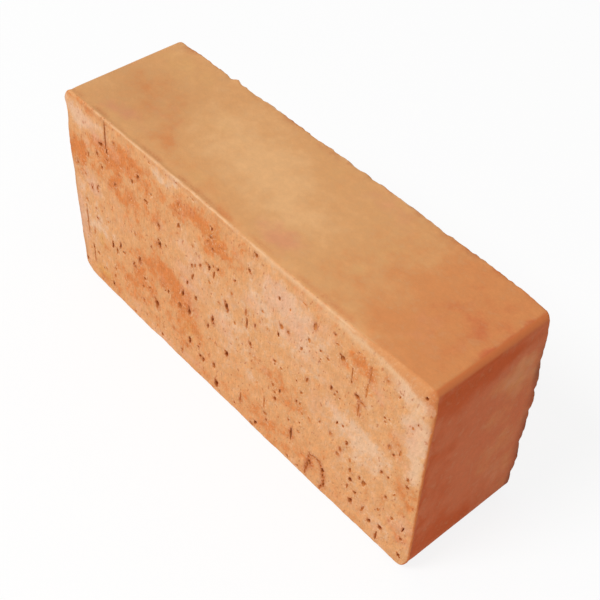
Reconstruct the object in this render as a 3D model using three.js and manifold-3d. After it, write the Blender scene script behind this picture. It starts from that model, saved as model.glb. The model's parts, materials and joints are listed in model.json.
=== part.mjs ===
// A solid clay brick, extruded through a die, cut from its column by wires and fired.
//
// Millimetres, +Z up. The brick stands on one of its long narrow faces: X runs along its length, Z up its
// width, and Y along the column of clay, from the front wire-cut face to the back one. The origin is the
// middle of the face that it stands on. Left and right are as seen from the front.

import * as THREE from 'three';
import { mergeVertices, toCreasedNormals } from 'three/addons/utils/BufferGeometryUtils.js';
import Module from 'manifold-3d';

const wasm = await Module();
wasm.setup();

// The fired brick.
const brickLength = 248;
const brickWidth = 122;
const brickThickness = 67;

// The die rounds the four corners that run along the column, and each has slumped in its own way. A corner
// reaches so far along the length and so far up or down the width. Its fullness is 2 where it is a plain
// round, more where it is squarer, and less where it is nearly a chamfer.
const topRightAlong = 3.2;
const topRightDown = 5.5;
const topRightFullness = 1.7;
const topLeftAlong = 8;
const topLeftDown = 12;
const topLeftFullness = 1.6;
const bottomLeftAlong = 10.2;
const bottomLeftUp = 4.7;
const bottomLeftFullness = 1.6;
const bottomRightAlong = 7.3;
const bottomRightUp = 14;
const bottomRightFullness = 2.4;
const cornerFacets = 10;

// Drying lifted the two ends of the standing face, so the brick rests on the flat stretch in the middle.
const endLift = 1.5;
const flatStretch = 96;

// The wire leaves a narrow arris round both cut faces, which wanders a little as the clay tears.
const arrisRadius = 1;
const arrisWander = 0.3;
const wanderLength = 31;
const arrisFacets = 3;
const edgeStep = 6;
const creaseAngle = 0.6;
const flatEnough = 0.9999;

// A hand pressed the front arris wide and shallow at the top right corner while the clay was wet, widest at
// its tip. The back arris has a smaller bruise at that corner.
const pressedWidth = 7;
const pressedDepth = 1.9;
const pressedAlong = 44;
const pressedDown = 54;
const pressedMore = 3.5;
const pressedRound = 7;
const nookWidth = 8;
const nookDepth = 2.6;
const nookAlong = 18;
const nookDown = 20;

// The upper left end of the front face slumped in. The slump starts at a height, is whole from another,
// and ends under the tip of the corner. It dies out along the face and towards the back.
const slump = 2.2;
const slumpStart = 86;
const slumpWhole = 108;
const slumpEnd = 110.5;
const slumpTip = 117;
const slumpAlong = 24;

// Further in from the rim than this, the arris takes the direction of the nearest flat.
const cornerGather = 22;

// The wire drags tears out of the cut faces. These are the widest in the front one, each with its distance
// from the middle of the face, its height over the standing face, its width and its height.
const frontTears = [
  [-93.3, 104.2, 2.8, 1.6], [-63.2, 103.6, 1.8, 2.8], [-58.2, 92.5, 3.2, 2], [-49.3, 83.6, 2, 2.8],
  [-49.6, 71.3, 1.7, 4.8], [-118, 78.2, 1.6, 2.4], [-33.3, 94.7, 1.9, 3.2], [-11, 85.4, 1.6, 3.2],
  [0.6, 69.6, 1.9, 4.6], [-10.5, 51.8, 1.6, 4.4], [-33.5, 51, 2, 4.8], [-36.6, 40.6, 3, 4.2],
  [-29, 42.2, 1.9, 5.4], [-0.3, 36.7, 2.2, 4.6], [-86, 44.2, 1.3, 5], [-93, 39.7, 1.5, 4.8],
  [-56.8, 25.6, 3, 5.6], [-29.7, 21.2, 1.6, 5], [-21.6, 16.5, 1.7, 3], [-19.2, 16.2, 1.7, 3],
  [-10.8, 19, 1.9, 4], [-9.6, 6.2, 2.6, 5], [-113.2, 24, 1.2, 3.4], [-97.2, 8.7, 1.6, 3.2],
  [-69, 47.2, 1.5, 5], [-65.5, 36.5, 2.4, 2.4], [-54.5, 4.8, 2.2, 2.8], [21.8, 116.8, 1.9, 2.8],
  [17.2, 104.5, 1.6, 2.4], [75.6, 100.4, 2.6, 3.6], [85.3, 85.6, 2.5, 2.6], [17.2, 58.5, 1.8, 3],
  [34.8, 36.6, 1.8, 3], [93.8, 35.2, 2.4, 4], [85.7, 29, 2.1, 3.2], [87, 14.6, 2.3, 3.4],
  [106.2, 15.6, 2.1, 3.4], [99.4, 12.9, 1.9, 3.4], [118.4, 8.6, 1.7, 2.8], [20.8, 5.4, 1.9, 3],
];
const tearDepth = 1.2;

// Slits are tears drawn out thin by the wire: from the middle, height of the upper end, width and length.
const frontSlits = [
  [-88.5, 121.5, 0.9, 21], [91.2, 110.3, 0.9, 12], [14.9, 79, 0.9, 13.5], [46.4, 27.3, 1.2, 10.5],
];

// The tears in the back face lie as chance has them.
const backTears = 36;
const backTearWidth = 2;
const backTearHeight = 4.4;
const tearMargin = 6;

// A crack arches over a pebble that sits low in the front face.
const archRadius = 5;
const archFromMiddle = 63.8;
const archUp = 15.4;
const archLegs = 11;
const crackWidth = 0.9;
const crackDepth = 1.2;

// The section that the die gives, counter-clockwise seen from the front.
function dieSection() {
  const halfLength = brickLength / 2;
  const halfWidth = brickWidth / 2;
  const corners = [
    { right: 1, up: -1, along: bottomRightAlong, tall: bottomRightUp, fullness: bottomRightFullness },
    { right: 1, up: 1, along: topRightAlong, tall: topRightDown, fullness: topRightFullness },
    { right: -1, up: 1, along: topLeftAlong, tall: topLeftDown, fullness: topLeftFullness },
    { right: -1, up: -1, along: bottomLeftAlong, tall: bottomLeftUp, fullness: bottomLeftFullness },
  ];

  // From 0 to 1 a corner turns from one face to the next.
  const onCorner = ({ right, up, along, tall, fullness }, turn) => {
    const fromLevel = right * up < 0;
    const angle = (fromLevel ? 1 - turn : turn) * Math.PI / 2;
    const u = Math.max(0, Math.cos(angle)) ** (2 / fullness);
    const v = Math.max(0, Math.sin(angle)) ** (2 / fullness);
    const x = right * (halfLength - along + along * u);
    return new THREE.Vector2(x, halfWidth + up * (halfWidth - tall + tall * v));
  };

  const section = [];
  corners.forEach((corner, i) => {
    for (let k = 0; k <= cornerFacets; k++) section.push(onCorner(corner, k / cornerFacets));

    const start = section.at(-1);
    const end = onCorner(corners[(i + 1) % corners.length], 0);
    const steps = Math.ceil(start.distanceTo(end) / edgeStep);
    for (let k = 1; k < steps; k++) section.push(start.clone().lerp(end, k / steps));
  });

  return section;
}

// The way in from a point of the rim: straight in from the flats, and gathered towards the corners.
function inwardAt(point) {
  const middle = new THREE.Vector2(0, brickWidth / 2);
  const reach = new THREE.Vector2(brickLength / 2 - cornerGather, brickWidth / 2 - cornerGather);
  const inner = point.clone().sub(middle).clamp(reach.clone().negate(), reach).add(middle);
  return inner.sub(point).normalize();
}

// How far the lower part of the section is lifted at a distance from the middle.
function liftAt(x, z) {
  const past = Math.max(0, Math.abs(x) - flatStretch / 2) / (brickLength - flatStretch) * 2;
  return endLift * past ** 1.6 * (1 - z / brickWidth);
}

// How far the left end has slumped in at one place.
function slumpAt(x, y, z) {
  const { smoothstep } = THREE.MathUtils;
  const upright = smoothstep(z, slumpStart, slumpWhole) * (1 - smoothstep(z, slumpEnd, slumpTip));
  const nearEnd = 1 - smoothstep(x + brickLength / 2, 0, slumpAlong);
  return slump * upright * nearEnd * (0.5 - y / brickThickness);
}

// The arris at one point of the section: how wide it is on the cut face, and how deep it runs back. It opens
// out towards the pressed corner in front, and towards the bruise behind.
function arrisAt(point, isFront) {
  const { lerp, smoothstep } = THREE.MathUtils;
  const along = (point.x + point.y) * 2 * Math.PI / wanderLength;
  const plain = arrisRadius + arrisWander * (Math.sin(along) + Math.sin(1.7 * along + 1)) / 2;
  const left = Math.max(0, brickLength / 2 - point.x);
  const down = Math.max(0, brickWidth - point.y);

  if (isFront) {
    const near = 1 - smoothstep(Math.hypot(left / pressedAlong, down / pressedDown), 0, 1);
    const most = pressedWidth + pressedMore * Math.exp(-((Math.hypot(left, down) / pressedRound) ** 2));
    return { wide: lerp(plain, most, near), deep: lerp(plain, pressedDepth, near) };
  }

  const near = 1 - smoothstep(Math.hypot(left / nookAlong, down / nookDown), 0, 1);
  return { wide: lerp(plain, nookWidth, near), deep: lerp(plain, nookDepth, near) };
}

// The column of clay between two cuts: the die's section, drawn in round the arris at either end.
function cutColumn() {
  const section = dieSection();
  const half = brickThickness / 2;
  const rings = [];

  for (const side of [-1, 1]) {
    const ends = [];
    for (let k = 0; k <= arrisFacets; k++) {
      const angle = k / arrisFacets * Math.PI / 2;
      ends.push(section.map((point) => {
        const { wide, deep } = arrisAt(point, side < 0);
        const { x, y: z } = point.clone().addScaledVector(inwardAt(point), wide * (1 - Math.sin(angle)));
        const y = side * (half - deep * (1 - Math.cos(angle)));
        return [x + slumpAt(x, y, z), y, z + liftAt(x, z)];
      }));
    }
    rings.push(...(side < 0 ? ends : ends.reverse()));
  }

  const count = section.length;
  const index = [];
  for (let ring = 0; ring + 1 < rings.length; ring++) {
    for (let i = 0; i < count; i++) {
      const a = ring * count + i;
      const b = ring * count + (i + 1) % count;
      index.push(a, b + count, b, a, a + count, b + count);
    }
  }

  // Each cut face is a fan of triangles about its middle.
  const last = (rings.length - 1) * count;
  const middle = rings.length * count;
  for (let i = 0; i < count; i++) {
    const next = (i + 1) % count;
    index.push(middle, i, next);
    index.push(middle + 1, last + next, last + i);
  }
  rings.push([[0, -half, brickWidth / 2], [0, half, brickWidth / 2]]);

  const geometry = new THREE.BufferGeometry();
  geometry.setAttribute('position', new THREE.Float32BufferAttribute(rings.flat(2), 3));
  geometry.setIndex(index);
  return geometry;
}

// A tear is a long egg, half sunk in the cut face at y.
function tear(x, y, z, width, height) {
  const egg = new THREE.SphereGeometry(1, 8, 5);
  egg.scale(width / 2, tearDepth, height / 2);
  return egg.translate(x, y, z);
}

// The same row of fractions each time, so that the back face always comes out the same.
function fractions(seed) {
  const modulus = 2147483647;
  let state = seed;
  return () => {
    state = (state * 16807) % modulus;
    return state / modulus;
  };
}

function tearsBehind() {
  const next = fractions(29);
  const reach = brickLength / 2 - tearMargin;
  return Array.from({ length: backTears }, () => {
    const x = THREE.MathUtils.lerp(-reach, reach, next());
    const z = THREE.MathUtils.lerp(tearMargin, brickWidth - 2 * tearMargin, next());
    const size = 0.6 + 0.7 * next();
    const height = backTearHeight * size * (0.7 + 0.6 * next());
    return tear(x, brickThickness / 2, z, backTearWidth * size, height);
  });
}

// The crack is an arch with two legs, cut straight in.
function archCrack() {
  const outer = archRadius + crackWidth;
  const arch = new THREE.Shape();
  arch.moveTo(outer, -archLegs);
  arch.absarc(0, 0, outer, 0, Math.PI, false);
  arch.lineTo(-outer, -archLegs);
  arch.lineTo(-archRadius, -archLegs);
  arch.absarc(0, 0, archRadius, Math.PI, 0, true);
  arch.lineTo(archRadius, -archLegs);
  const straightIn = { depth: 2 * crackDepth, bevelEnabled: false, curveSegments: 9 };
  const cut = new THREE.ExtrudeGeometry(arch, straightIn);
  cut.translate(0, 0, -crackDepth);
  cut.rotateX(Math.PI / 2);
  return cut.translate(archFromMiddle, -brickThickness / 2, archUp);
}

// A closed three.js mesh as a solid that can be cut.
function solid(geometry) {
  const bare = geometry.clone();
  bare.deleteAttribute('normal');
  bare.deleteAttribute('uv');
  const merged = mergeVertices(bare);
  return new wasm.Manifold(new wasm.Mesh({
    numProp: 3,
    vertProperties: Float32Array.from(merged.attributes.position.array),
    triVerts: Uint32Array.from(merged.index.array),
  }));
}

// A solid as a three.js mesh again, smooth over its rounds and sharp at its cuts. The cut faces stay flat
// right up to their arris.
function meshed(body) {
  const { vertProperties, triVerts } = body.getMesh();
  const geometry = new THREE.BufferGeometry();
  geometry.setAttribute('position', new THREE.BufferAttribute(vertProperties, 3));
  geometry.setIndex(new THREE.BufferAttribute(triVerts, 1));
  const creased = toCreasedNormals(geometry, creaseAngle);

  const { position, normal } = creased.attributes;
  const facet = new THREE.Triangle();
  const facing = new THREE.Vector3();
  for (let i = 0; i < position.count; i += 3) {
    facet.setFromAttributeAndIndices(position, i, i + 1, i + 2);
    facet.getNormal(facing);
    if (Math.abs(facing.y) < flatEnough) continue;
    for (let k = i; k < i + 3; k++) normal.setXYZ(k, 0, Math.sign(facing.y), 0);
  }

  return creased;
}

const front = -brickThickness / 2;
const cuts = [
  ...frontTears.map(([x, z, width, height]) => tear(x, front, z, width, height)),
  ...frontSlits.map(([x, top, width, length]) => tear(x, front, top - length / 2, width, length)),
  archCrack(),
  ...tearsBehind(),
];
const torn = cuts.reduce((body, cut) => body.subtract(solid(cut)), solid(cutColumn()));

const firedClay = new THREE.MeshStandardMaterial({ color: 0xd69a68, roughness: 0.92, metalness: 0 });
const brick = new THREE.Mesh(meshed(torn), firedClay);
brick.name = 'brick';

const group = new THREE.Group();
group.add(brick);

export default group;
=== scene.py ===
import json
import math

import bmesh
import bpy
import numpy as np
from mathutils import Matrix, Vector, kdtree, noise
from mathutils.geometry import delaunay_2d_cdt

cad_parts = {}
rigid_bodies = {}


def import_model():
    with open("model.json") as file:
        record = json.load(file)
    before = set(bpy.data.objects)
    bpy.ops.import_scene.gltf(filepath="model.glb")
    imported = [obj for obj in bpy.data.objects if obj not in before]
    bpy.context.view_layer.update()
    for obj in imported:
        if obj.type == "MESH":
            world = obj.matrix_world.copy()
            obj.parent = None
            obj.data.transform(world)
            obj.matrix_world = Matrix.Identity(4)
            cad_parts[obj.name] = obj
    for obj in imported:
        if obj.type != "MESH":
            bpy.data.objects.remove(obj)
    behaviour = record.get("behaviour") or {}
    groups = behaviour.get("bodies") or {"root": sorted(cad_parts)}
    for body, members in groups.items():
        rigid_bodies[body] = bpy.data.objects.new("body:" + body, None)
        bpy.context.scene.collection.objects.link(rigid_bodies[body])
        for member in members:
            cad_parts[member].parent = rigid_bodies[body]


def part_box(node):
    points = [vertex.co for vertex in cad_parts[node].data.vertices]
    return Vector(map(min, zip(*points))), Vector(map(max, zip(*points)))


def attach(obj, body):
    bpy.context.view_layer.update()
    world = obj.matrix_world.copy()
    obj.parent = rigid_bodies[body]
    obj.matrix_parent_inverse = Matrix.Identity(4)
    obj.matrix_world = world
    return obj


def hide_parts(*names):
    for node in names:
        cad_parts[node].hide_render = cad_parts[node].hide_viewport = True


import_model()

# A wire-cut clay brick that stands on its long narrow face. The part's frame has X along the length, Y
# through the thickness from the front cut face to the back one, and Z up. Shapes are in millimetres.

metre = 1000.0                       # millimetres in a metre
cutSlot, skinSlot, tornSlot = range(3)   # the materials: wire-cut clay, die skin and torn clay
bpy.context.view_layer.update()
low, high = (np.array(corner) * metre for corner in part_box("brick"))


def smooth(start, end, value):
    # A soft step from 0 at the start to 1 at the end. The end may lie below the start.
    t = np.clip((value - start) / (end - start), 0, 1)
    return t * t * (3 - 2 * t)


def hump(centre, width, value):
    return np.exp(-((value - centre) / width) ** 2)


def grain(places, size, seed=0.0, detail=1):
    # Perlin noise at places in millimetres, about -1 to 1. Its features have a size in millimetres, the same
    # each way or one along each of X, Y and Z.
    fading, finer = 0.8, 2.1             # how each further layer of the noise gets finer and fades
    at = places / np.asarray(size, float) + seed
    if detail > 1:
        return np.array([noise.fractal(Vector(p), fading, finer, detail) for p in at])
    return np.array([noise.noise(Vector(p)) for p in at])


brickForm = dict(
    length=high[0] - low[0], width=high[2] - low[2], thickness=high[1] - low[1],
    # Each die corner, from the bottom right one on against the clock, as seen from the front: how far it
    # reaches across and down, and how full it is (2 is round).
    corners=((7.3, 14.0, 2.4), (3.2, 5.5, 1.7), (8.0, 12.0, 1.6), (10.2, 4.7, 1.6)),
    cornerPoints=400, cornerStep=0.6,    # how finely a corner is worked out, and how finely it is divided
    step=1.3, creaseGap=0.35,            # how finely the flats are divided, and the first step off a corner
    # Points inside a cut face, in steps: how far they are shaken, and how far they keep off the rim.
    shake=0.22, rimGap=0.62, shakeSeed=4,
    nearRings=(0.6, 1.2, 1.9, 2.7, 3.6, 4.8),    # rings round the skin behind each arris, in millimetres
    farRings=(0.1, 0.9, 21),             # and between those: the first and last, as shares, and how many
    cornerGather=22,                     # at a corner the arris runs to the point this far in from both flats
    arris=1.0, arrisWander=0.3, wanderLength=31, arrisSteps=5,
    secondWave=(1.7, 1.0),               # its second wave: how much shorter, and how far shifted
    # The bruised top right front corner: whole as near the edges as its tip, and fading out along the top and
    # down the right. Round the corner itself it is wider by more. A smaller bruise lies behind it.
    pressedWidth=7.0, pressedDepth=1.9, pressedTip=6, pressedAlong=44, pressedDown=54,
    pressedMore=3.5, pressedRound=7,
    nookWidth=8.0, nookDepth=2.6, nookAlong=18, nookDown=20,
    endLift=1.5, flatStretch=96, liftCurve=1.6,  # both ends of the standing face lift past the flat stretch
    backBow=(0.2, 1.0),                  # how far the left and right ends of the back top edge draw in
    bowStart=80, bowWhole=92,            # the height over which the right one does
    # A shallow groove under the top right edge, which starts where the header does.
    groove=0.3, grooveAt=115.4, grooveLower=1.5, grooveWidth=2.6, headerStart=1.5, headerWhole=0.5,
    # The upper left front end slumped in.
    slump=2.2, slumpStart=86, slumpWhole=108, slumpEnd=110.5, slumpTip=117, slumpAlong=24,
    # The edge between the top and the right header is worn: by how much each way, and less towards the back.
    softEdge=0.35, softReach=1.6, softShare=0.7, softLess=0.6,
    # To the left of here the back top edge was cut a little short. It is blended over so much each way, and
    # comes in with these powers of the height and of the way back.
    backStepAt=-76, backStep=0.25, backStepBlend=1.5, backStepUp=4, backStepBack=12,
    # The front top edge dips along its right part.
    edgeDip=1.1, dipStart=-22, dipWhole=16, dipEnd=84, dipGone=104, dipReach=2.2, dipDown=5,
)


def dieSection(form):
    # The outline of the column of clay, as points half a millimetre or so apart, and the way out at each.
    half, top = form["length"] / 2, form["width"]
    arcs = []
    for turn, (across, down, full) in enumerate(form["corners"]):
        t = np.linspace(0, math.pi / 2, form["cornerPoints"])
        u, v = np.cos(t) ** (2 / full), np.sin(t) ** (2 / full)
        if turn % 2 == 0:                # these two run from a level face to an upright one
            u, v = v, u
        rightSide, upSide = (1, 1, -1, -1)[turn], (-1, 1, 1, -1)[turn]
        x = rightSide * (half - across + across * u)
        z = top / 2 + upSide * (top / 2 - down + down * v)
        out = np.stack([rightSide * u ** (full - 1) / across, upSide * v ** (full - 1) / down], 1)
        out /= np.linalg.norm(out, axis=1, keepdims=True)
        run = np.concatenate([[0], np.hypot(np.diff(x), np.diff(z)).cumsum()])
        at = np.linspace(0, run[-1], int(run[-1] / form["cornerStep"]) + 2)
        arcs.append([np.stack([np.interp(at, run, k) for k in pair], 1) for pair in ((x, z), out.T)])
    places, outward = [], []
    for turn, (arc, out) in enumerate(arcs):
        end = arcs[(turn + 1) % len(arcs)][0][0]
        gap = np.linalg.norm(end - arc[-1])
        share = np.linspace(0, 1, int(gap / form["step"]) + 1)[1:-1]
        share = np.concatenate([[form["creaseGap"] / gap], share, [1 - form["creaseGap"] / gap]])
        straight = arc[-1] + share[:, None] * (end - arc[-1])
        places += [arc, straight]
        outward += [out, np.repeat(out[-1:], len(straight), 0)]
    return np.concatenate(places), np.concatenate(outward)


def inwardFrom(form, section):
    # The way in from the rim: straight in from the flats, and gathered at the corners, so that nothing folds.
    gather = form["cornerGather"]
    inner = np.array([form["length"] / 2 - gather, form["width"] / 2 - gather])
    middle = np.array([0, form["width"] / 2])
    inward = np.clip(section - middle, -inner, inner) + middle - section
    return inward / np.linalg.norm(inward, axis=1, keepdims=True)


def pressedNearness(form, x, z):
    # 1 at the pressed corner, and 0 where the bruise ends along the top and down the right edge.
    left = np.maximum(0, form["length"] / 2 - form["pressedTip"] - x) / form["pressedAlong"]
    down = np.maximum(0, form["width"] - form["pressedTip"] - z) / form["pressedDown"]
    return 1 - smooth(0, 1, np.hypot(left, down))


def arrisSize(form, section, isFront):
    # How wide the arris is on the cut face, and how deep it runs back.
    along = section.sum(1) * 2 * math.pi / form["wanderLength"]
    shorter, shift = form["secondWave"]
    plain = form["arris"] + form["arrisWander"] * (np.sin(along) + np.sin(shorter * along + shift)) / 2
    left, down = form["length"] / 2 - section[:, 0], form["width"] - section[:, 1]
    if isFront:
        near = pressedNearness(form, *section.T)
        more = form["pressedMore"] * hump(0, form["pressedRound"], np.hypot(left, down))
        wide, deep = form["pressedWidth"] + more, form["pressedDepth"]
    else:
        near = 1 - smooth(0, 1, np.hypot(left / form["nookAlong"], down / form["nookDown"]))
        wide, deep = form["nookWidth"], form["nookDepth"]
    return plain + (wide - plain) * near, plain + (deep - plain) * near


def cutFace(form, rim, side):
    # Points inside the rim of a cut face, on a slightly shaken grid, and the triangles that join them all.
    step = form["step"]
    x, z = np.meshgrid(np.arange(rim[:, 0].min(), rim[:, 0].max(), step), np.arange(0, form["width"], step))
    grid = np.stack([x.ravel(), z.ravel()], 1)
    chance = np.random.default_rng(form["shakeSeed"] + side)
    grid += form["shake"] * step * chance.uniform(-1, 1, grid.shape)
    near = kdtree.KDTree(len(rim))
    for i, spot in enumerate(rim):
        near.insert((spot[0], spot[1], 0), i)
    near.balance()
    ahead = np.roll(rim, -1, 0) - rim
    kept = []
    for spot in grid:
        _, i, gap = near.find((spot[0], spot[1], 0))
        aside = spot - rim[i]
        if gap > form["rimGap"] * step and ahead[i][0] * aside[1] - ahead[i][1] * aside[0] > 0:
            kept.append(spot)
    count = len(rim)
    edges = [(i, (i + 1) % count) for i in range(count)]
    insideOnly, closest = 1, 1e-5
    made = delaunay_2d_cdt([Vector(p) for p in np.concatenate([rim, kept])], edges, [], insideOnly, closest)
    return np.array([tuple(p) for p in made[0]]), made[2], [origin[0] if origin else -1 for origin in made[3]]


def brickBody(form):
    # The die's section, swept from one cut to the other: points, normals, faces and each face's material.
    section, outward = dieSection(form)
    inward = inwardFrom(form, section)
    count, half = len(section), form["thickness"] / 2
    places, normals, faces, slots = [], [], [], []
    turns = np.linspace(0, math.pi / 2, form["arrisSteps"] + 1)
    sizes = {side: arrisSize(form, section, side < 0) for side in (-1, 1)}

    def arrisRing(side, t):
        wide, deep = sizes[side]
        flat = section + inward * (wide * (1 - math.sin(t)))[:, None]
        out = outward * math.sin(t)
        places.append(np.stack([flat[:, 0], side * (half - deep * (1 - math.cos(t))), flat[:, 1]], 1))
        normals.append(np.stack([out[:, 0], np.full(count, side * math.cos(t)), out[:, 1]], 1))

    for t in turns:
        arrisRing(-1, t)
    start, end = -half + sizes[-1][1], half - sizes[1][1]
    fine = np.array(form["nearRings"]) / form["thickness"]
    for t in np.concatenate([fine, np.linspace(*form["farRings"]), 1 - fine[::-1]]):
        places.append(np.stack([section[:, 0], start + (end - start) * t, section[:, 1]], 1))
        normals.append(np.stack([outward[:, 0], np.zeros(count), outward[:, 1]], 1))
    for t in turns[::-1]:
        arrisRing(1, t)

    rings = len(places)
    for r in range(rings - 1):
        a = r * count + np.arange(count)
        b = r * count + (np.arange(count) + 1) % count
        faces += np.stack([a, a + count, b + count, b], 1).tolist()
        isArris = r < len(turns) - 1 or r >= rings - len(turns)
        slots += [cutSlot if isArris else skinSlot] * count

    total = rings * count
    for side, first in ((-1, 0), (1, (rings - 1) * count)):
        rim = places[first // count][:, [0, 2]]
        inner, triangles, origins = cutFace(form, rim, side)
        index, fresh = [], []
        for spot, origin in zip(inner, origins):
            onRim = 0 <= origin < count
            index.append(first + origin if onRim else total + len(fresh))
            if not onRim:
                fresh.append((spot[0], side * half, spot[1]))
        places.append(np.array(fresh))
        normals.append(np.tile((0.0, side, 0.0), (len(fresh), 1)))
        total += len(fresh)
        order = (0, 1, 2) if side < 0 else (0, 2, 1)
        faces += [[int(index[t[k]]) for k in order] for t in triangles]
        slots += [cutSlot] * len(triangles)
    return np.concatenate(places), np.concatenate(normals), faces, slots


# Each grain is the size, seed and detail of a noise, and a level is what is taken off it.
relief = dict(
    cutWave=0.22, cutWaveLevel=0.4, cutWaveGrain=(30, 3.1, 3),   # slow hollows and swells of the cut faces
    drag=0.13, dragGrain=((3.2, 20, 45), 8.4, 2),                # ridges that the wire drew down the face
    crumb=0.08, crumbGrain=(2.8, 1.7),
    skinWave=0.14, skinWaveLevel=0.5, skinWaveGrain=(45, 5.3, 2),
    # The wire's turned lip on the skin behind the front arris, the trough behind it, and how both vary.
    lip=0.32, lipAt=0.6, lipWidth=0.8,
    trough=0.2, troughAt=2.8, troughWidth=1.7,
    lipMean=0.75, lipSwing=0.6, lipGrain=(24, 6.6),
    # Crumbs and bites torn out of the back arris, and how far in front of it they reach.
    burr=0.75, burrLevel=0.15, burrGrain=(5, 2.2), tornReach=1.8,
    scallop=0.45, scallopLevel=0.2, scallopGrain=(26, 7.9),
    rimCrumb=0.3, rimCrumbLevel=0.35, rimCrumbGrain=(2.6, 4.4, 2), rimReach=1.2,     # the rough rims
    # The crumbly foot of the headers: how high it reaches, and how squarely it has to face along X.
    footCrumb=0.5, footCrumbMean=0.2, footCrumbGrain=(4.5, 12.8, 2), footHeight=3.5, footTurn=(0.3, 0.8),
    # Bites out of the back arris: X, height, reach and depth. The shallow ones below 0 stand out.
    bites=(
        (124, 68, 13, -0.8), (124, 74, 1.6, 0.9), (124, 60, 1.4, 0.7), (124, 38, 3.5, 0.9),
        (124, 14, 3.5, 1.0), (124, 50, 2, -0.4), (124, 26, 3, -0.4), (-77, 122, 2.2, 1.1),
        (-72.5, 122, 1.6, -0.5), (-59, 122, 2, 0.6), (-36, 122, 2, 0.5), (-16, 122, 2.4, 0.6),
        (4, 122, 3, -0.4), (20, 122, 6, 0.35), (44, 122, 3, -0.4), (64, 122, 2, 0.6), (77, 122, 4, -0.35),
        (-104, 122, 6, -0.4), (-92, 122, 2, 0.4), (-48, 122, 3, -0.35),
    ),
)


def roughened(form, places, normals):
    # Every point of the plain body, moved in or out along its normal.
    x, y, z = places.T
    half = form["thickness"] / 2
    cut = np.abs(normals[:, 1])
    waves = relief["cutWave"] * (grain(places, *relief["cutWaveGrain"]) - relief["cutWaveLevel"])
    drag = relief["drag"] * grain(places, *relief["dragGrain"])
    crumb = relief["crumb"] * grain(places, *relief["crumbGrain"])
    skin = relief["skinWave"] * (grain(places, *relief["skinWaveGrain"]) - relief["skinWaveLevel"])
    out = cut * (waves + drag + crumb) + (1 - cut) * skin

    fromFront, fromBack = y + half, half - y
    strength = relief["lipMean"] + relief["lipSwing"] * grain(places, *relief["lipGrain"])
    strength = strength * (1 - pressedNearness(form, x, z)) * (1 - cut)
    out += strength * relief["lip"] * hump(relief["lipAt"], relief["lipWidth"], fromFront)
    out -= strength * relief["trough"] * hump(relief["troughAt"], relief["troughWidth"], fromFront)
    flat = places * (1, 0, 1)
    rim = relief["rimCrumb"] * (grain(flat, *relief["rimCrumbGrain"]) - relief["rimCrumbLevel"])
    out += rim * (1 - cut ** 2) * np.exp(-fromFront / relief["rimReach"])
    torn = relief["burr"] * (np.abs(grain(flat, *relief["burrGrain"])) - relief["burrLevel"])
    torn += relief["scallop"] * (grain(flat, *relief["scallopGrain"]) - relief["scallopLevel"])
    for atX, atZ, reach, depth in relief["bites"]:
        torn -= depth * hump(0, reach, np.hypot(x - atX, z - atZ))
    out += (torn + rim) * np.exp(-fromBack / relief["tornReach"])
    foot = np.exp(-(z / relief["footHeight"]) ** 2) * smooth(*relief["footTurn"], np.abs(normals[:, 0]))
    foot *= 1 - cut
    eaten = np.clip(grain(places, *relief["footCrumbGrain"]) + relief["footCrumbMean"], 0, 1)
    out -= relief["footCrumb"] * foot * eaten
    return places + normals * out[:, None]


def settled(form, places, normals):
    # How the soft brick settled: lifted ends, drawn-in and worn edges, a groove, a slump and a dip.
    x, y, z = places.T
    half, end = form["thickness"] / 2, form["length"] / 2
    past = np.maximum(0, np.abs(x) - form["flatStretch"] / 2) / (form["length"] - form["flatStretch"]) * 2
    lift = form["endLift"] * past ** form["liftCurve"] * (1 - z / form["width"])
    back, up = np.clip((y + half) / form["thickness"], 0, 1), np.clip(z / form["width"], 0, 1)
    right = smooth(form["bowStart"], form["bowWhole"], z)
    bow = np.where(x < 0, form["backBow"][0] * up, form["backBow"][1] * right) * (2 * x / form["length"]) ** 2
    header = (1 - np.abs(normals[:, 1])) * smooth(end - form["headerStart"], end - form["headerWhole"], x)
    grooved = form["groove"] * hump(form["grooveAt"] - form["grooveLower"] * back, form["grooveWidth"], z)
    grooved = grooved * header
    blend = form["backStepBlend"]
    short = 1 - smooth(form["backStepAt"] - blend, form["backStepAt"] + blend, x)
    step = form["backStep"] * short * up ** form["backStepUp"]
    slump = form["slump"] * smooth(form["slumpStart"], form["slumpWhole"], z) * (1 - back)
    slump *= 1 - smooth(form["slumpEnd"], form["slumpTip"], z)
    slump *= 1 - smooth(0, form["slumpAlong"], x + end)
    dip = form["edgeDip"] * smooth(form["dipStart"], form["dipWhole"], x)
    dip = dip * smooth(form["dipGone"], form["dipEnd"], x)
    nearTop = smooth(form["width"] - form["dipDown"], form["width"], z)
    dip *= np.exp(-((y + half) / form["dipReach"]) ** 2) * nearTop
    edge = np.hypot(x - end, z - form["width"] + form["corners"][1][1])
    soft = form["softEdge"] * hump(0, form["softReach"], edge) * (1 - form["softLess"] * back)
    x = x + slump - form["softShare"] * soft - grooved
    y = y - back * bow - back ** form["backStepBack"] * step
    return np.stack([x, y, np.maximum(z + lift - dip - form["softShare"] * soft, 0)], 1)


class Value:
    # One socket of a node tree, for arithmetic on it.
    def __init__(self, kit, socket):
        self.kit, self.socket = kit, socket

    def maths(self, operation, first, second=0.0):
        return self.kit.node("ShaderNodeMath", dict(operation=operation), first, second)

    def __add__(self, other):
        return self.maths("ADD", self, other)

    def __radd__(self, other):
        return self.maths("ADD", other, self)

    def __sub__(self, other):
        return self.maths("SUBTRACT", self, other)

    def __rsub__(self, other):
        return self.maths("SUBTRACT", other, self)

    def __mul__(self, other):
        return self.maths("MULTIPLY", self, other)

    def __rmul__(self, other):
        return self.maths("MULTIPLY", other, self)

    def __pow__(self, other):
        return self.maths("POWER", self, other)


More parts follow.
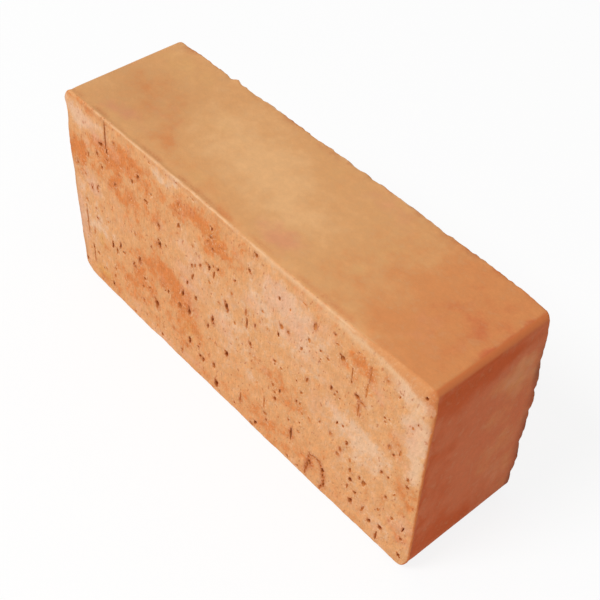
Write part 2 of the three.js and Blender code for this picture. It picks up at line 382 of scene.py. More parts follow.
class Kit:
    # Makes the nodes of one tree. A socket takes a number, a colour or another node's value.
    def __init__(self, tree):
        self.tree = tree

    def node(self, kind, settings=None, *values, out=0, **named):
        made = self.tree.nodes.new(kind)
        for name, value in (settings or {}).items():
            setattr(made, name, value)
        for socket, value in zip(made.inputs, values):
            self.plug(socket, value)
        for name, value in named.items():
            self.plug(made.inputs[name.replace("_", " ")], value)
        return Value(self, made.outputs[out]) if made.outputs else made

    def plug(self, socket, value):
        if isinstance(value, Value):
            self.tree.links.new(value.socket, socket)
        else:
            socket.default_value = value

    def joined(self, *parts):
        made = self.tree.nodes.new("GeometryNodeJoinGeometry")
        for part in reversed(parts):
            self.tree.links.new(part.socket, made.inputs[0])
        return Value(self, made.outputs[0])


def paint(red, green, blue):
    # A colour as a screen gives it, 0 to 255, in the linear values that Blender uses.
    screen = [c / 255 for c in (red, green, blue)]
    return tuple(c / 12.92 if c < 11 / 255 else ((c + 0.055) / 1.055) ** 2.4 for c in screen) + (1,)


def newMaterial(name):
    material = bpy.data.materials.new(name)
    material.use_nodes = True
    material.node_tree.nodes.clear()
    return material, Kit(material.node_tree)


def speckle(kit, at, size, seed, detail=2.0, stretch=(1, 1, 1), rough=0.55, lean=0.0):
    # Noise from 0 to 1 with features of a size in millimetres, at a place in millimetres. They can be
    # stretched, and lean over to the right as seen from the front.
    scale = tuple(size * s for s in stretch)
    start = tuple(seed * size * s for s in (-1, -2, 1))
    spot = kit.node("ShaderNodeMapping", dict(vector_type="TEXTURE"), at, start, (0, lean, 0), scale)
    return kit.node("ShaderNodeTexNoise", None, Vector=spot, Scale=1.0, Detail=detail, Roughness=rough)


def between(kit, value, start, end, least=0.0, most=1.0):
    settings = dict(interpolation_type="SMOOTHSTEP")
    return kit.node("ShaderNodeMapRange", settings, value, start, end, least, most)


def mixed(kit, amount, first, second, blend="MIX"):
    made = kit.tree.nodes.new("ShaderNodeMix")
    made.data_type, made.blend_type, made.clamp_factor = "RGBA", blend, True
    factor, firstColour, secondColour = 0, 6, 7      # these three sockets are the ones for colours
    for socket, value in ((factor, amount), (firstColour, first), (secondColour, second)):
        kit.plug(made.inputs[socket], value)
    return Value(kit, made.outputs[2])


def shaded(kit, value, depth, colour):
    # The colour made lighter and darker by a noise from 0 to 1, with its hue kept.
    return mixed(kit, 1.0, colour, 1 + depth * 2 * (value - 0.5), blend="MULTIPLY")


def clayShader(kit, material, colour, roughness, height, bumpDepth, shine=0.25):
    bump = kit.node("ShaderNodeBump", None, Strength=1.0, Distance=bumpDepth / metre, Height=height)
    shader = kit.node("ShaderNodeBsdfPrincipled", None, Base_Color=colour, Roughness=roughness, Normal=bump)
    shader.socket.node.inputs["Specular IOR Level"].default_value = shine
    kit.node("ShaderNodeOutputMaterial", None, shader)
    return material


def objectPlace(kit):
    # The place on the brick, in millimetres.
    place = kit.node("ShaderNodeTexCoord", out="Object")
    return kit.node("ShaderNodeVectorMath", dict(operation="SCALE"), place, Scale=metre)


def attribute(kit, name):
    return kit.node("ShaderNodeAttribute", dict(attribute_name=name), out="Fac")


shadeTint = (0.6, 0.58, 0.57, 1)          # what the painted shade leaves of a colour

wireCutLook = dict(
    pale=paint(226, 182, 144), middle=paint(219, 158, 104), warm=paint(210, 124, 62),
    # The lip colour on the next line is a painted highlight.
    pink=paint(223, 168, 134), straw=paint(216, 160, 92), lip=paint(231, 190, 148),
    skinned=paint(212, 142, 88), stain=paint(172, 80, 34), grit=paint(180, 114, 66),
    # The darkest brown on the next line is painted shade along the edges.
    crumb=paint(238, 202, 166), rim=paint(204, 112, 58), paintedEdgeShade=paint(122, 46, 18),
    # Each noise: its size in millimetres, its seed, its detail, and how it is stretched, rough and leaning.
    cloudNoise=dict(size=6, seed=1.3, detail=3, stretch=(1, 1, 1.4), rough=0.6, lean=0.5),
    blotchNoise=dict(size=2.2, seed=6.1, detail=3, stretch=(1, 1, 1.6), rough=0.6, lean=0.5),
    hueNoise=dict(size=9, seed=8.6, detail=3),
    streakNoise=dict(size=0.8, seed=4.2, detail=2, stretch=(1, 1, 8), lean=0.1),
    mottleNoise=dict(size=3.2, seed=6.7, detail=3, stretch=(1, 1, 1.8), rough=0.65, lean=0.3),
    gritNoise=dict(size=1.1, seed=7.7, detail=2, stretch=(1, 1, 1.5), rough=0.65, lean=0.4),
    fleckNoise=dict(size=1.5, seed=2.2, detail=1, stretch=(1, 1, 2), lean=0.25),
    # How strongly the noises sway the tone and the hue, and how much lighter and darker they make the colour.
    cloudSway=1.25, blotchSway=0.65, hueSway=1.4, hueMean=0.08,
    streakShade=0.14, mottleShade=0.2, blotchShade=0.2,
    # Where each colour starts and stops growing, and how much there is of it at either end.
    middleFrom=(0.0, 0.5), warmFrom=(0.5, 1.0), pinkFrom=(0.1, 0.9, 0, 0.75), strawFrom=(-0.1, -0.9, 0, 0.75),
    gritFrom=(0.54, 0.72, 0, 0.18), crumbFrom=(0.48, 0.33), fleckFrom=(0.63, 0.75, 0, 0.55),
    crumbShare=0.08, crumbsAndHighlightsNearTears=0.46,
    skinnedFrom=(0.3, 0.55, 0.55, 1), rimFrom=(0.3, 0.6, 0.7, 1), paintedEdgeShadeFrom=(0.4, 0.58, 0.35, 1),
    roughness=0.92, bump=0.4, gritBump=0.9, streakBump=0.35, blotchBump=0.9,
)


def wireCutClay():
    material, kit = newMaterial("wireCutClay")
    look = wireCutLook
    at = objectPlace(kit)

    def cover(colour, name, amount):
        return mixed(kit, amount, colour, look[name])

    cloud = speckle(kit, at, **look["cloudNoise"]) - 0.5
    blotch = speckle(kit, at, **look["blotchNoise"]) - 0.5
    tone = attribute(kit, "tone") + look["cloudSway"] * cloud + look["blotchSway"] * blotch
    colour = cover(look["pale"], "middle", between(kit, tone, *look["middleFrom"]))
    colour = cover(colour, "warm", between(kit, tone, *look["warmFrom"]))
    hue = attribute(kit, "pink") + look["hueMean"]
    hue = hue + look["hueSway"] * (speckle(kit, at, **look["hueNoise"]) - 0.5)
    colour = cover(colour, "pink", between(kit, hue, *look["pinkFrom"]))
    colour = cover(colour, "straw", between(kit, hue, *look["strawFrom"]))
    streak = speckle(kit, at, **look["streakNoise"])
    mottle = speckle(kit, at, **look["mottleNoise"])
    colour = shaded(kit, blotch + 0.5, look["blotchShade"], colour)
    colour = shaded(kit, mottle, look["mottleShade"], colour)
    colour = shaded(kit, streak, look["streakShade"], colour)
    grit = speckle(kit, at, **look["gritNoise"])
    colour = cover(colour, "grit", between(kit, grit, *look["gritFrom"]))
    # Pale crumbs, more of them near the tears, where they also stand for painted highlights on the raised
    # rims.
    near = attribute(kit, "near")
    crumbs = between(kit, grit, *look["crumbFrom"])
    crumbs = crumbs * (look["crumbShare"] + look["crumbsAndHighlightsNearTears"] * near)
    colour = cover(colour, "crumb", crumbs)
    fleck = speckle(kit, at, **look["fleckNoise"])
    colour = cover(colour, "stain", between(kit, fleck, *look["fleckFrom"]))
    # Painted highlight along the front's upper edge and the pressed corner's ridge.
    colour = cover(colour, "lip", attribute(kit, "lip"))
    colour = cover(colour, "skinned", attribute(kit, "skinned") * between(kit, grit, *look["skinnedFrom"]))
    colour = cover(colour, "rim", attribute(kit, "rim") * between(kit, grit, *look["rimFrom"]))
    # Stains round the tears, and a darker band under the front's upper edge.
    colour = cover(colour, "stain", attribute(kit, "halo"))
    # Painted shade: a dark line along the back and foot edges.
    colour = cover(colour, "paintedEdgeShade", attribute(kit, "paintedEdgeShade") * between(kit, grit, *look["paintedEdgeShadeFrom"]))
    # Broader painted shade, multiplied into the colour.
    colour = mixed(kit, attribute(kit, "paintedShade"), colour, shadeTint, blend="MULTIPLY")
    height = look["gritBump"] * grit + look["streakBump"] * streak + look["blotchBump"] * blotch
    return clayShader(kit, material, colour, look["roughness"], height, look["bump"])


dieSkinLook = dict(
    light=paint(223, 170, 116), middle=paint(213, 155, 100), warm=paint(210, 136, 81),
    red=paint(200, 105, 62), burnt=paint(192, 84, 32), pink=paint(212, 140, 102), straw=paint(216, 164, 102),
    # The lip colour on the next line is a painted highlight, and its darkest brown is painted shade along the
    # edges.
    dust=paint(228, 182, 134), lip=paint(224, 174, 124), rust=paint(168, 66, 26), paintedEdgeShade=paint(116, 40, 18),
    # The facet colour is painted light: the worn strip at the top right edge is painted lighter than the
    # header's skin.
    facet=paint(212, 118, 64),
    cloudNoise=dict(size=11, seed=5.1, detail=4, rough=0.6),
    hueNoise=dict(size=8, seed=8.6, detail=3),
    sandNoise=dict(size=0.9, seed=2.9, detail=2),
    smearNoise=dict(size=3.6, seed=4.8, detail=3, stretch=(1.3, 1, 1.3), rough=0.62),
    crustNoise=dict(size=1.3, seed=6.6, detail=2, rough=0.65),
    cloudSway=0.8, hueSway=1.1, smearShade=0.12, sandShade=0.09, sandLess=0.03,
    middleFrom=(0.0, 0.5), warmFrom=(0.5, 1.0), redFrom=(1.0, 1.5), burntFrom=(1.5, 2.0),
    pinkFrom=(0.1, 0.9, 0, 0.7), strawFrom=(-0.1, -0.9, 0, 0.6), palerFrom=(1.2, 0.8),
    sandDustFrom=(0.45, 0.25, 0, 0.14), smearDustFrom=(0.46, 0.3, 0, 0.1),
    rustFrom=(0.3, 0.6, 0.4, 1), paintedEdgeShadeFrom=(0.38, 0.56, 0.45, 1),
    roughness=0.84, bump=0.15, sandBump=0.5,
)


def dieSkinClay():
    material, kit = newMaterial("dieSkinClay")
    look = dieSkinLook
    at = objectPlace(kit)

    def cover(colour, name, amount):
        return mixed(kit, amount, colour, look[name])

    cloud = speckle(kit, at, **look["cloudNoise"]) - 0.5
    tone = attribute(kit, "tone") + look["cloudSway"] * cloud
    colour = look["light"]
    for name in ("middle", "warm", "red", "burnt"):
        colour = cover(colour, name, between(kit, tone, *look[name + "From"]))
    hue = attribute(kit, "pink") + look["hueSway"] * (speckle(kit, at, **look["hueNoise"]) - 0.5)
    colour = cover(colour, "pink", between(kit, hue, *look["pinkFrom"]))
    paler = between(kit, tone, *look["palerFrom"])   # the redder skin has no straw in it
    colour = cover(colour, "straw", between(kit, hue, *look["strawFrom"]) * paler)
    sand = speckle(kit, at, **look["sandNoise"])
    smear = speckle(kit, at, **look["smearNoise"])
    sandShade = look["sandShade"] - look["sandLess"] * paler
    colour = shaded(kit, smear, look["smearShade"], colour)
    colour = shaded(kit, sand, sandShade, colour)
    colour = cover(colour, "dust", between(kit, sand, *look["sandDustFrom"]) * paler)
    colour = cover(colour, "dust", between(kit, smear, *look["smearDustFrom"]))
    # Painted light on the worn strip at the top right edge.
    colour = cover(colour, "facet", attribute(kit, "facet"))
    # Painted highlight along the top's front edge.
    colour = cover(colour, "lip", attribute(kit, "lip"))
    crust = speckle(kit, at, **look["crustNoise"])
    # Rust round the tears and along edges, and painted shade in the trough behind the front lip.
    colour = cover(colour, "rust", attribute(kit, "halo") * between(kit, crust, *look["rustFrom"]))
    # Painted shade: a dark line along the back and foot edges.
    colour = cover(colour, "paintedEdgeShade", attribute(kit, "paintedEdgeShade") * between(kit, crust, *look["paintedEdgeShadeFrom"]))
    # Broader painted shade, multiplied into the colour.
    colour = mixed(kit, attribute(kit, "paintedShade"), colour, shadeTint, blend="MULTIPLY")
    height = look["sandBump"] * sand + smear
    return clayShader(kit, material, colour, look["roughness"], height, look["bump"])


tornLook = dict(
    # The deep colour is both the torn clay's darker core and painted shade deep in the tears, where it grows
    # with the depth below the face.
    deep=paint(120, 38, 4), shallow=paint(214, 140, 80), mottle=paint(184, 98, 42),
    mottleNoise=dict(size=1.2, seed=9.1, detail=2), mottleFrom=(0.4, 0.65, 0, 0.6),
    roughness=0.95, bump=0.3, shine=0.05,
)


def tornClay():
    material, kit = newMaterial("tornClay")
    look = tornLook
    at = objectPlace(kit)
    mottle = speckle(kit, at, **look["mottleNoise"])
    colour = mixed(kit, between(kit, mottle, *look["mottleFrom"]), look["shallow"], look["mottle"])
    colour = mixed(kit, attribute(kit, "deep"), colour, look["deep"])
    return clayShader(kit, material, colour, look["roughness"], mottle, look["bump"], look["shine"])


tearMarks = dict(
    # Tears in the front face: X, height, width and height of each, in millimetres, and how deep from 0 to 1.
    # The widest come first.
    front=[
        (-93.3, 104.2, 3.4, 2.3, 1), (-63.2, 103.6, 1.8, 2.8, 0.75), (-58.2, 92.5, 3.2, 2, 0.8),
        (-49.3, 83.6, 2, 2.8, 0.75), (-49.6, 71.3, 1.7, 4.8, 0.95), (-118, 78.2, 1.6, 2.4, 0.6),
        (-33.3, 94.7, 1.9, 3.2, 0.65), (-11, 85.4, 1.6, 3.2, 0.85), (0.6, 69.6, 1.9, 4.6, 1),
        (-10.5, 51.8, 1.6, 4.4, 0.85), (-33.5, 51, 2, 4.8, 0.8), (-36.6, 40.6, 3, 4.2, 0.7),
        (-29, 42.2, 1.9, 5.4, 0.9), (-0.3, 36.7, 2.2, 4.6, 1), (-86, 44.2, 1.3, 5, 0.9),
        (-93, 39.7, 1.5, 4.8, 0.8), (-56.8, 25.6, 3, 5.6, 0.8), (-29.7, 21.2, 1.6, 5, 1),
        (-21.6, 16.5, 1.7, 3, 0.75), (-19.2, 16.2, 1.7, 3, 0.75), (-10.8, 19, 1.9, 4, 0.7),
        (-9.6, 6.2, 2.6, 5, 0.95), (-113.2, 24, 1.2, 3.4, 0.75), (-97.2, 8.7, 1.6, 3.2, 0.9),
        (-69, 47.2, 1.5, 5, 0.65), (-65.5, 36.5, 2.4, 2.4, 0.6), (-54.5, 4.8, 2.2, 2.8, 0.7),
        (21.8, 116.8, 1.9, 2.8, 0.75), (17.2, 104.5, 1.6, 2.4, 0.7), (75.6, 100.4, 2.6, 3.4, 0.7),
        (85.3, 85.6, 2.5, 2.6, 0.75), (17.2, 58.5, 1.8, 3, 0.75), (34.8, 36.6, 1.8, 3, 0.75),
        (93.8, 35.2, 2.4, 4, 0.6), (85.7, 29, 2.1, 3.2, 1), (87, 14.6, 2.3, 3.4, 0.85),
        (106.2, 15.6, 2.1, 3.4, 1), (99.4, 12.9, 1.9, 3.4, 0.75), (118.4, 8.6, 1.7, 2.8, 1),
        (20.8, 5.4, 1.9, 3, 0.9),
    ],
    small=[
        (-88.5, 102.8, 1.4, 3, 0.9), (-88.8, 97.5, 1.3, 1.8, 0.6), (-97.7, 96, 1.6, 2.4, 0.65),
        (-106.2, 90.2, 1.1, 4, 0.6), (-94.6, 89.3, 1.6, 3, 0.65), (-84.3, 85.2, 1.5, 2.2, 0.6),
        (-89.5, 81.5, 2.8, 1.4, 0.35), (-119.3, 76.8, 1.3, 1.5, 0.4), (-112, 81.6, 2.2, 1, 0.3),
        (-115, 73, 1, 2.5, 0.35), (-111.5, 75, 1.4, 1.8, 0.35), (-101.7, 71.8, 1.2, 3.2, 0.65),
        (-106.7, 69, 1.2, 2, 0.6), (-68.8, 97.3, 1.6, 3, 0.75), (-81.3, 111.5, 1.4, 2, 0.35),
        (-79.5, 93.7, 1.2, 1.2, 0.3), (-77.5, 100.5, 1, 1, 0.3), (-71.5, 85, 2, 1.4, 0.3),
        (-70.8, 63, 0.9, 2.6, 0.35), (-89.5, 38.5, 1.6, 3.4, 0.6), (-82.8, 41.6, 2.2, 1.4, 0.4),
        (-74.6, 40.4, 1.5, 2, 0.55), (-73.9, 38.6, 1.4, 1.4, 0.6), (-67.8, 29.3, 1.6, 2.4, 0.5),
        (-109, 22.6, 1.4, 2.2, 0.55), (-121.7, 9.7, 1.3, 2.4, 0.85), (-93.2, 22.5, 1.4, 2.8, 0.35),
        (-94.5, 16.5, 1.4, 2.8, 0.35), (-68.5, 18.5, 1, 3, 0.35), (-84.5, 21, 2.2, 1.4, 0.3),
        (-103, 15.5, 1.8, 1.8, 0.3), (-95, 54, 1.5, 1.5, 0.3), (-105, 50, 1.5, 1.5, 0.3),
        (-113.5, 57, 1.4, 2, 0.3), (-78, 2.8, 1.5, 1.2, 0.6), (-108.5, 3.5, 1.6, 1.2, 0.4),
        (-52, 70, 1.8, 1.4, 0.35), (-44.5, 74, 1.3, 2.2, 0.4), (-23, 89.5, 0.9, 2.2, 0.35),
        (-32.6, 107.5, 1.1, 4.5, 0.5), (-53.3, 99.5, 1.2, 1.6, 0.35), (-53, 118.3, 1.6, 1.4, 0.35),
        (-32.8, 119.8, 1.4, 0.8, 0.4), (-21, 118.3, 1.4, 1.1, 0.35), (-8, 110.3, 1.6, 2.6, 0.7),
        (-8.6, 105, 2.2, 1.5, 0.65), (-7.5, 98.6, 2.2, 1.5, 0.55), (-2, 103.3, 2, 1.1, 0.4),
        (-11, 101, 1.5, 2, 0.4), (-13, 86.3, 1.4, 1.6, 0.35), (-7.8, 83, 1.1, 6, 0.5), (-8, 88, 1, 2, 0.45),
        (-17.7, 81.5, 0.8, 3, 0.5), (-21.7, 78.5, 1, 2.4, 0.4), (-24.3, 76.5, 1.4, 2.8, 0.5),
        (-11.5, 75.6, 1.8, 2.2, 0.35), (-24.2, 69.5, 1, 4.6, 0.5), (-28.8, 62.3, 1.2, 3, 0.75),
        (-5, 67.5, 1.6, 1.1, 0.3), (-23, 56.3, 1.4, 3.2, 0.65), (-14.4, 44.2, 1.2, 3.4, 0.75),
        (-45.6, 42.8, 1.2, 3.4, 0.65), (-32, 44.8, 1, 1.6, 0.4), (-49.3, 43.5, 1.5, 1, 0.4),
        (-9.4, 36.5, 0.9, 2.4, 0.4), (-13.2, 36.3, 1.2, 2.8, 0.35), (-22, 24.8, 1.5, 2.2, 0.45),
        (-14.8, 22.5, 1, 2.4, 0.35), (-32.3, 14.7, 1.7, 3, 0.4), (-43.3, 18.5, 1.3, 2.4, 0.35),
        (-37, 8, 1.2, 2.8, 0.35), (-52.5, 12, 1.2, 2.8, 0.3), (-61.8, 32.8, 1.5, 2.4, 0.5),
        (1.3, 66.6, 1.2, 1.6, 0.55), (20.6, 73.5, 1, 2.8, 0.65), (36.5, 81.3, 1.1, 3, 0.9),
        (38.6, 87.8, 2, 3.2, 0.4), (42.8, 88, 1.2, 2, 0.5), (51.2, 84.8, 1.3, 3, 0.55),
        (50, 82, 0.8, 1.4, 0.35), (55.5, 68.5, 1.1, 4.5, 0.55), (59, 105, 1.5, 4.4, 0.45),
        (52, 112.5, 2.8, 0.8, 0.3), (26, 87, 1.8, 1.4, 0.35), (34.8, 62.7, 1.5, 2, 0.4),
        (38.8, 61.3, 1.5, 1.6, 0.5), (24, 79, 1, 2.4, 0.3), (29, 78.5, 1.3, 1.3, 0.35),
        (6.5, 63.5, 1.5, 2.2, 0.35), (4.5, 81, 1.8, 2.4, 0.3), (55.8, 94, 1.5, 2.8, 0.3),
        (43.6, 102.3, 1.1, 1.8, 0.3), (17, 52, 1.2, 2.4, 0.35), (20.4, 52.4, 1, 2.4, 0.4),
        (33.3, 45, 1.4, 2.4, 0.55), (38.1, 45, 1.1, 3.4, 0.95), (34.6, 40.9, 1.4, 1.8, 0.55),
        (31, 47.6, 1.2, 1.5, 0.35), (28.3, 19.4, 1.9, 1.9, 0.55), (22, 36.5, 1, 2.4, 0.3),
        (52.6, 57.5, 1.3, 2, 0.35), (51.8, 49, 1.1, 2.8, 0.4), (53.2, 43.5, 1.5, 2, 0.4),
        (57.7, 44.6, 1.2, 2.6, 0.45), (52, 35.8, 1, 1.5, 0.4), (51.5, 29, 1.5, 1.5, 0.3),
        (44.7, 3.2, 1.2, 1.4, 0.6), (51.5, 3, 1.2, 1.2, 0.5), (18, 2.2, 3, 1.4, 0.8),
        (88.3, 84, 2.4, 1.3, 0.55), (81.4, 91.2, 0.8, 1.8, 0.55), (70.4, 77.3, 1.2, 3.2, 0.9),
        (73.8, 77.9, 1.3, 1.6, 0.65), (72.6, 75, 1.2, 1.6, 0.5), (75.6, 75.2, 0.8, 1.4, 0.35),
        (67.5, 92.7, 1.5, 1.5, 0.55), (63, 94, 1.3, 1.5, 0.3), (100.9, 87.4, 1.2, 1.4, 0.6),
        (101.3, 85.2, 1, 1.1, 0.6), (103.4, 88.4, 1, 1, 0.45), (105.3, 72.7, 1, 3, 0.35),
        (107, 105.5, 0.8, 2.4, 0.5), (107.4, 108, 0.7, 1, 0.4), (119.4, 116.3, 1.6, 2.2, 0.9),
        (117.2, 62.8, 1, 2.4, 0.5), (111.3, 74.5, 1, 3.6, 0.22), (115.5, 95, 1.1, 1.8, 0.35),
        (72.3, 106, 1.8, 1.1, 0.3), (70.7, 110, 0.9, 1.2, 0.4), (84.2, 111, 0.8, 1, 0.4),
        (100.3, 109, 0.9, 1.8, 0.4), (75.2, 58.9, 1.1, 2.6, 0.7), (78.7, 59.9, 1.4, 1.9, 0.55),
        (82, 51.2, 1.2, 3.2, 0.65), (64.7, 49.2, 0.9, 2, 0.5), (71.6, 47.8, 1.2, 2.6, 0.45),
        (78.3, 43.3, 1.3, 3, 0.45), (77, 38.7, 1.4, 2, 0.4), (84.7, 42, 1.2, 2.8, 0.35),
        (85.2, 35.4, 1.3, 3.6, 0.55), (91.3, 36.3, 1.1, 2.6, 0.5), (84.3, 22.5, 1.1, 4, 0.55),
        (89.3, 22.8, 1.5, 2.4, 0.75), (94.8, 17, 1.1, 6, 0.45), (118.3, 21, 1.5, 2.2, 0.7),
        (118.6, 28.5, 0.8, 4.5, 0.9), (112, 29.4, 1.4, 2.2, 0.55), (106.9, 39.6, 1.2, 2.2, 0.65),
        (111.3, 46, 1, 2.8, 0.4), (102.9, 53.2, 1.2, 2.2, 0.7), (106.8, 53.3, 1, 2.2, 0.65),
        (117.6, 57.8, 1.6, 2, 0.7), (103.8, 26.8, 1.5, 2, 0.3),
    ],
    # A crack arches over a pebble, in pieces that run into each other.
    crack=[
        (56.9, 4.4, 1.1, 3.2, 0.5), (57.6, 7.6, 1, 3.6, 0.6), (58.2, 10.8, 1.2, 4.4, 0.7),
        (59.4, 14.6, 2, 2.8, 0.9), (59.2, 18, 1, 2.8, 0.5), (60.4, 20.4, 2, 1.4, 0.65),
        (62.8, 21.6, 2.8, 1.4, 0.7), (65.6, 21.5, 2.8, 1.9, 0.75), (67.4, 19.6, 1.2, 2.2, 0.5),
        (68.4, 17.2, 1.8, 4.2, 0.9), (68.8, 13.4, 1.2, 3.6, 0.65), (69.6, 10, 1, 3.4, 0.55),
        (69.6, 7.4, 1.2, 3.2, 0.7), (68.2, 4.8, 1.1, 2.8, 0.6), (67.4, 2.6, 0.9, 1.6, 0.5),
        (66.8, 20.4, 1, 1, 0.4),
    ],
    # Long thin ones stand almost upright.
    slits=[
        (-88.4, 112, 0.8, 20, 0.8), (91.2, 104.5, 0.9, 11.5, 0.42), (90.2, 94, 1, 9, 0.3),
        (86.5, 77.8, 0.8, 9, 0.4), (81.4, 96, 0.5, 9, 0.35), (14.6, 77, 0.9, 5, 0.45),
        (15, 70.3, 1.1, 8, 0.7), (46.4, 22.2, 1.2, 10.5, 1), (9.7, 14, 0.8, 8, 0.45),
        (104.4, 7.5, 1, 7, 0.6), (-113.3, 20, 0.7, 14, 0.55), (-115.5, 42, 0.6, 24, 0.5),
        (27.5, 27, 0.7, 8, 0.3), (-110, 38, 0.7, 6, 0.3),
    ],
    depth=1.3, shallower=1.35,           # how deep the deepest are, and how fast the others get shallower
    lean=(0.02, 0.34), slitLean=0.05, seed=19,
    # Crumbs lost round each tear that is wider and deeper than this: how many, how far to the side and up, as
    # shares of the tear, and how large and deep beside it.
    crumbs=2, crumbFromWidth=1.1, crumbFromDepth=0.5, crumbAside=0.55, crumbUp=0.6,
    crumbSize=(0.35, 0.6), crumbHeight=0.8, crumbDepth=0.7,
)
chanceTears = dict(
    perSquareMetre=5200, seed=7, leastWidth=0.6, mostWidth=2.3, lean=0.18, sway=0.18,
    frontShare=0.3, frontSize=0.5,       # how many and how large those on the front are beside the back's
    squarely=0.97,                       # how squarely a spot has to face the front or the back
    # How thickly they lie: the clusters, from sparse to whole, and the sparse top, by metres of height.
    clusterScale=34.0, clusterFrom=(0.42, 0.62, 0.15, 1.0), topFrom=(0.112, 0.088, 0.12, 1.0),
    # Most are narrow: the power that makes them so. Then half the width and depth beside the width, the least
    # depth in metres, and half the height from the least to that and more.
    narrower=2.2, halfWidth=0.5, halfDepth=0.35, leastDepth=0.0004, halfHeight=0.5, taller=1.1,
    rollSeeds=(0.0, 3.0, 9.0), pickSeed=5,
)
tearShapes = dict(kinds=8, ragged=0.75, raggedSize=0.8, finer=2.0, apart=(5.0, 0.0, 2.0))


def markPoints(form):
    # One point for each mark that has its own place, with half its size along X, Y and Z and how it leans.
    look = tearMarks
    chance = np.random.default_rng(look["seed"])
    marks = [(*mark, chance.uniform(*look["lean"])) for mark in look["front"] + look["small"]]
    marks += [(*mark, look["slitLean"]) for mark in look["crack"] + look["slits"]]
    for x, z, w, h, deep, lean in marks[:]:
        for i in range(look["crumbs"] * (w > look["crumbFromWidth"] and deep > look["crumbFromDepth"])):
            side = chance.uniform(-look["crumbAside"], look["crumbAside"])
            up = chance.uniform(-look["crumbUp"], look["crumbUp"])
            size = chance.uniform(*look["crumbSize"])
            spot = (x + side * w, z + up * h)
            marks.append((*spot, w * size, h * size * look["crumbHeight"], deep * look["crumbDepth"], lean))
    mesh = bpy.data.meshes.new("tearMarks")
    face = -form["thickness"] / 2 / metre
    mesh.from_pydata([(mark[0] / metre, face, mark[1] / metre) for mark in marks], [], [])
    deepest, power = look["depth"] / metre, look["shallower"]
    half = [(w / 2 / metre, deepest * deep ** power, h / 2 / metre) for x, z, w, h, deep, lean in marks]
    sizes = mesh.attributes.new("tearSize", "FLOAT_VECTOR", "POINT")
    sizes.data.foreach_set("vector", np.array(half).ravel())
    leans = mesh.attributes.new("tearLean", "FLOAT", "POINT")
    leans.data.foreach_set("value", [mark[5] for mark in marks])
    points = bpy.data.objects.new("tearMarks", mesh)
    bpy.context.scene.collection.objects.link(points)
    return points


def stored(kit, points, name, kind, value, domain="POINT"):
    settings = dict(data_type=kind, domain=domain)
    return kit.node("GeometryNodeStoreNamedAttribute", settings, points, Name=name, Value=value)


def chancePoints(kit, asked, place, isCut, isBack):
    # Points for chance tears on the two cut faces, in loose clusters, and few near the top.
    look = chanceTears
    height = kit.node("ShaderNodeSeparateXYZ", None, place, out=2)
    cluster = kit.node("ShaderNodeTexNoise", None, Vector=place, Scale=look["clusterScale"], Detail=1.0)
    thick = between(kit, cluster, *look["clusterFrom"]) * between(kit, height, *look["topFrom"])
    thick = thick * (asked["Front Share"] + (1 - asked["Front Share"]) * isBack)
    chance = kit.node(
        "GeometryNodeDistributePointsOnFaces", None, asked["Brick"], isCut,
        Density=asked["Tears per m2"] * thick, Seed=asked["Seed"],
    )
    roll = [
        kit.node("FunctionNodeRandomValue", dict(data_type="FLOAT"), out=1, Seed=asked["Seed"] + extra)
        for extra in look["rollSeeds"]
    ]
    most = asked["Most Width"] * (asked["Front Size"] + (1 - asked["Front Size"]) * isBack)
    wide = asked["Least Width"] + (most - asked["Least Width"]) * roll[0] ** look["narrower"]
    halfWidth, halfDepth = wide * look["halfWidth"], wide * look["halfDepth"] + look["leastDepth"]
    halfHeight = wide * (look["halfHeight"] + look["taller"] * roll[1])
    spread = kit.node("ShaderNodeCombineXYZ", None, halfWidth, halfDepth, halfHeight)
    chance = stored(kit, chance, "tearSize", "FLOAT_VECTOR", spread)
    return stored(kit, chance, "tearLean", "FLOAT", asked["Lean"] + asked["Sway"] * (2 * roll[2] - 1))


def raggedEgg(kit, place, kind, ragged):
    # An egg ruffled by noise, in its own way for each kind.
    egg = kit.node("GeometryNodeMeshIcoSphere", None, Radius=1.0, Subdivisions=2)
    shift = tuple(step * kind for step in tearShapes["apart"])
    spot = kit.node("ShaderNodeVectorMath", dict(operation="ADD"), place, shift)
    scale = 1 / tearShapes["raggedSize"]
    ruffle = kit.node("ShaderNodeTexNoise", None, Vector=spot, Scale=scale, Detail=tearShapes["finer"], out=1)
    shift = kit.node("ShaderNodeVectorMath", dict(operation="SUBTRACT"), ruffle, (0.5, 0.5, 0.5))
    shift = kit.node("ShaderNodeVectorMath", dict(operation="SCALE"), shift, Scale=ragged)
    egg = kit.node("GeometryNodeSetPosition", None, egg, Offset=shift)
    egg = stored(kit, egg, "isTorn", "BOOLEAN", True, domain="FACE")
    return kit.node("GeometryNodeGeometryToInstance", None, egg)


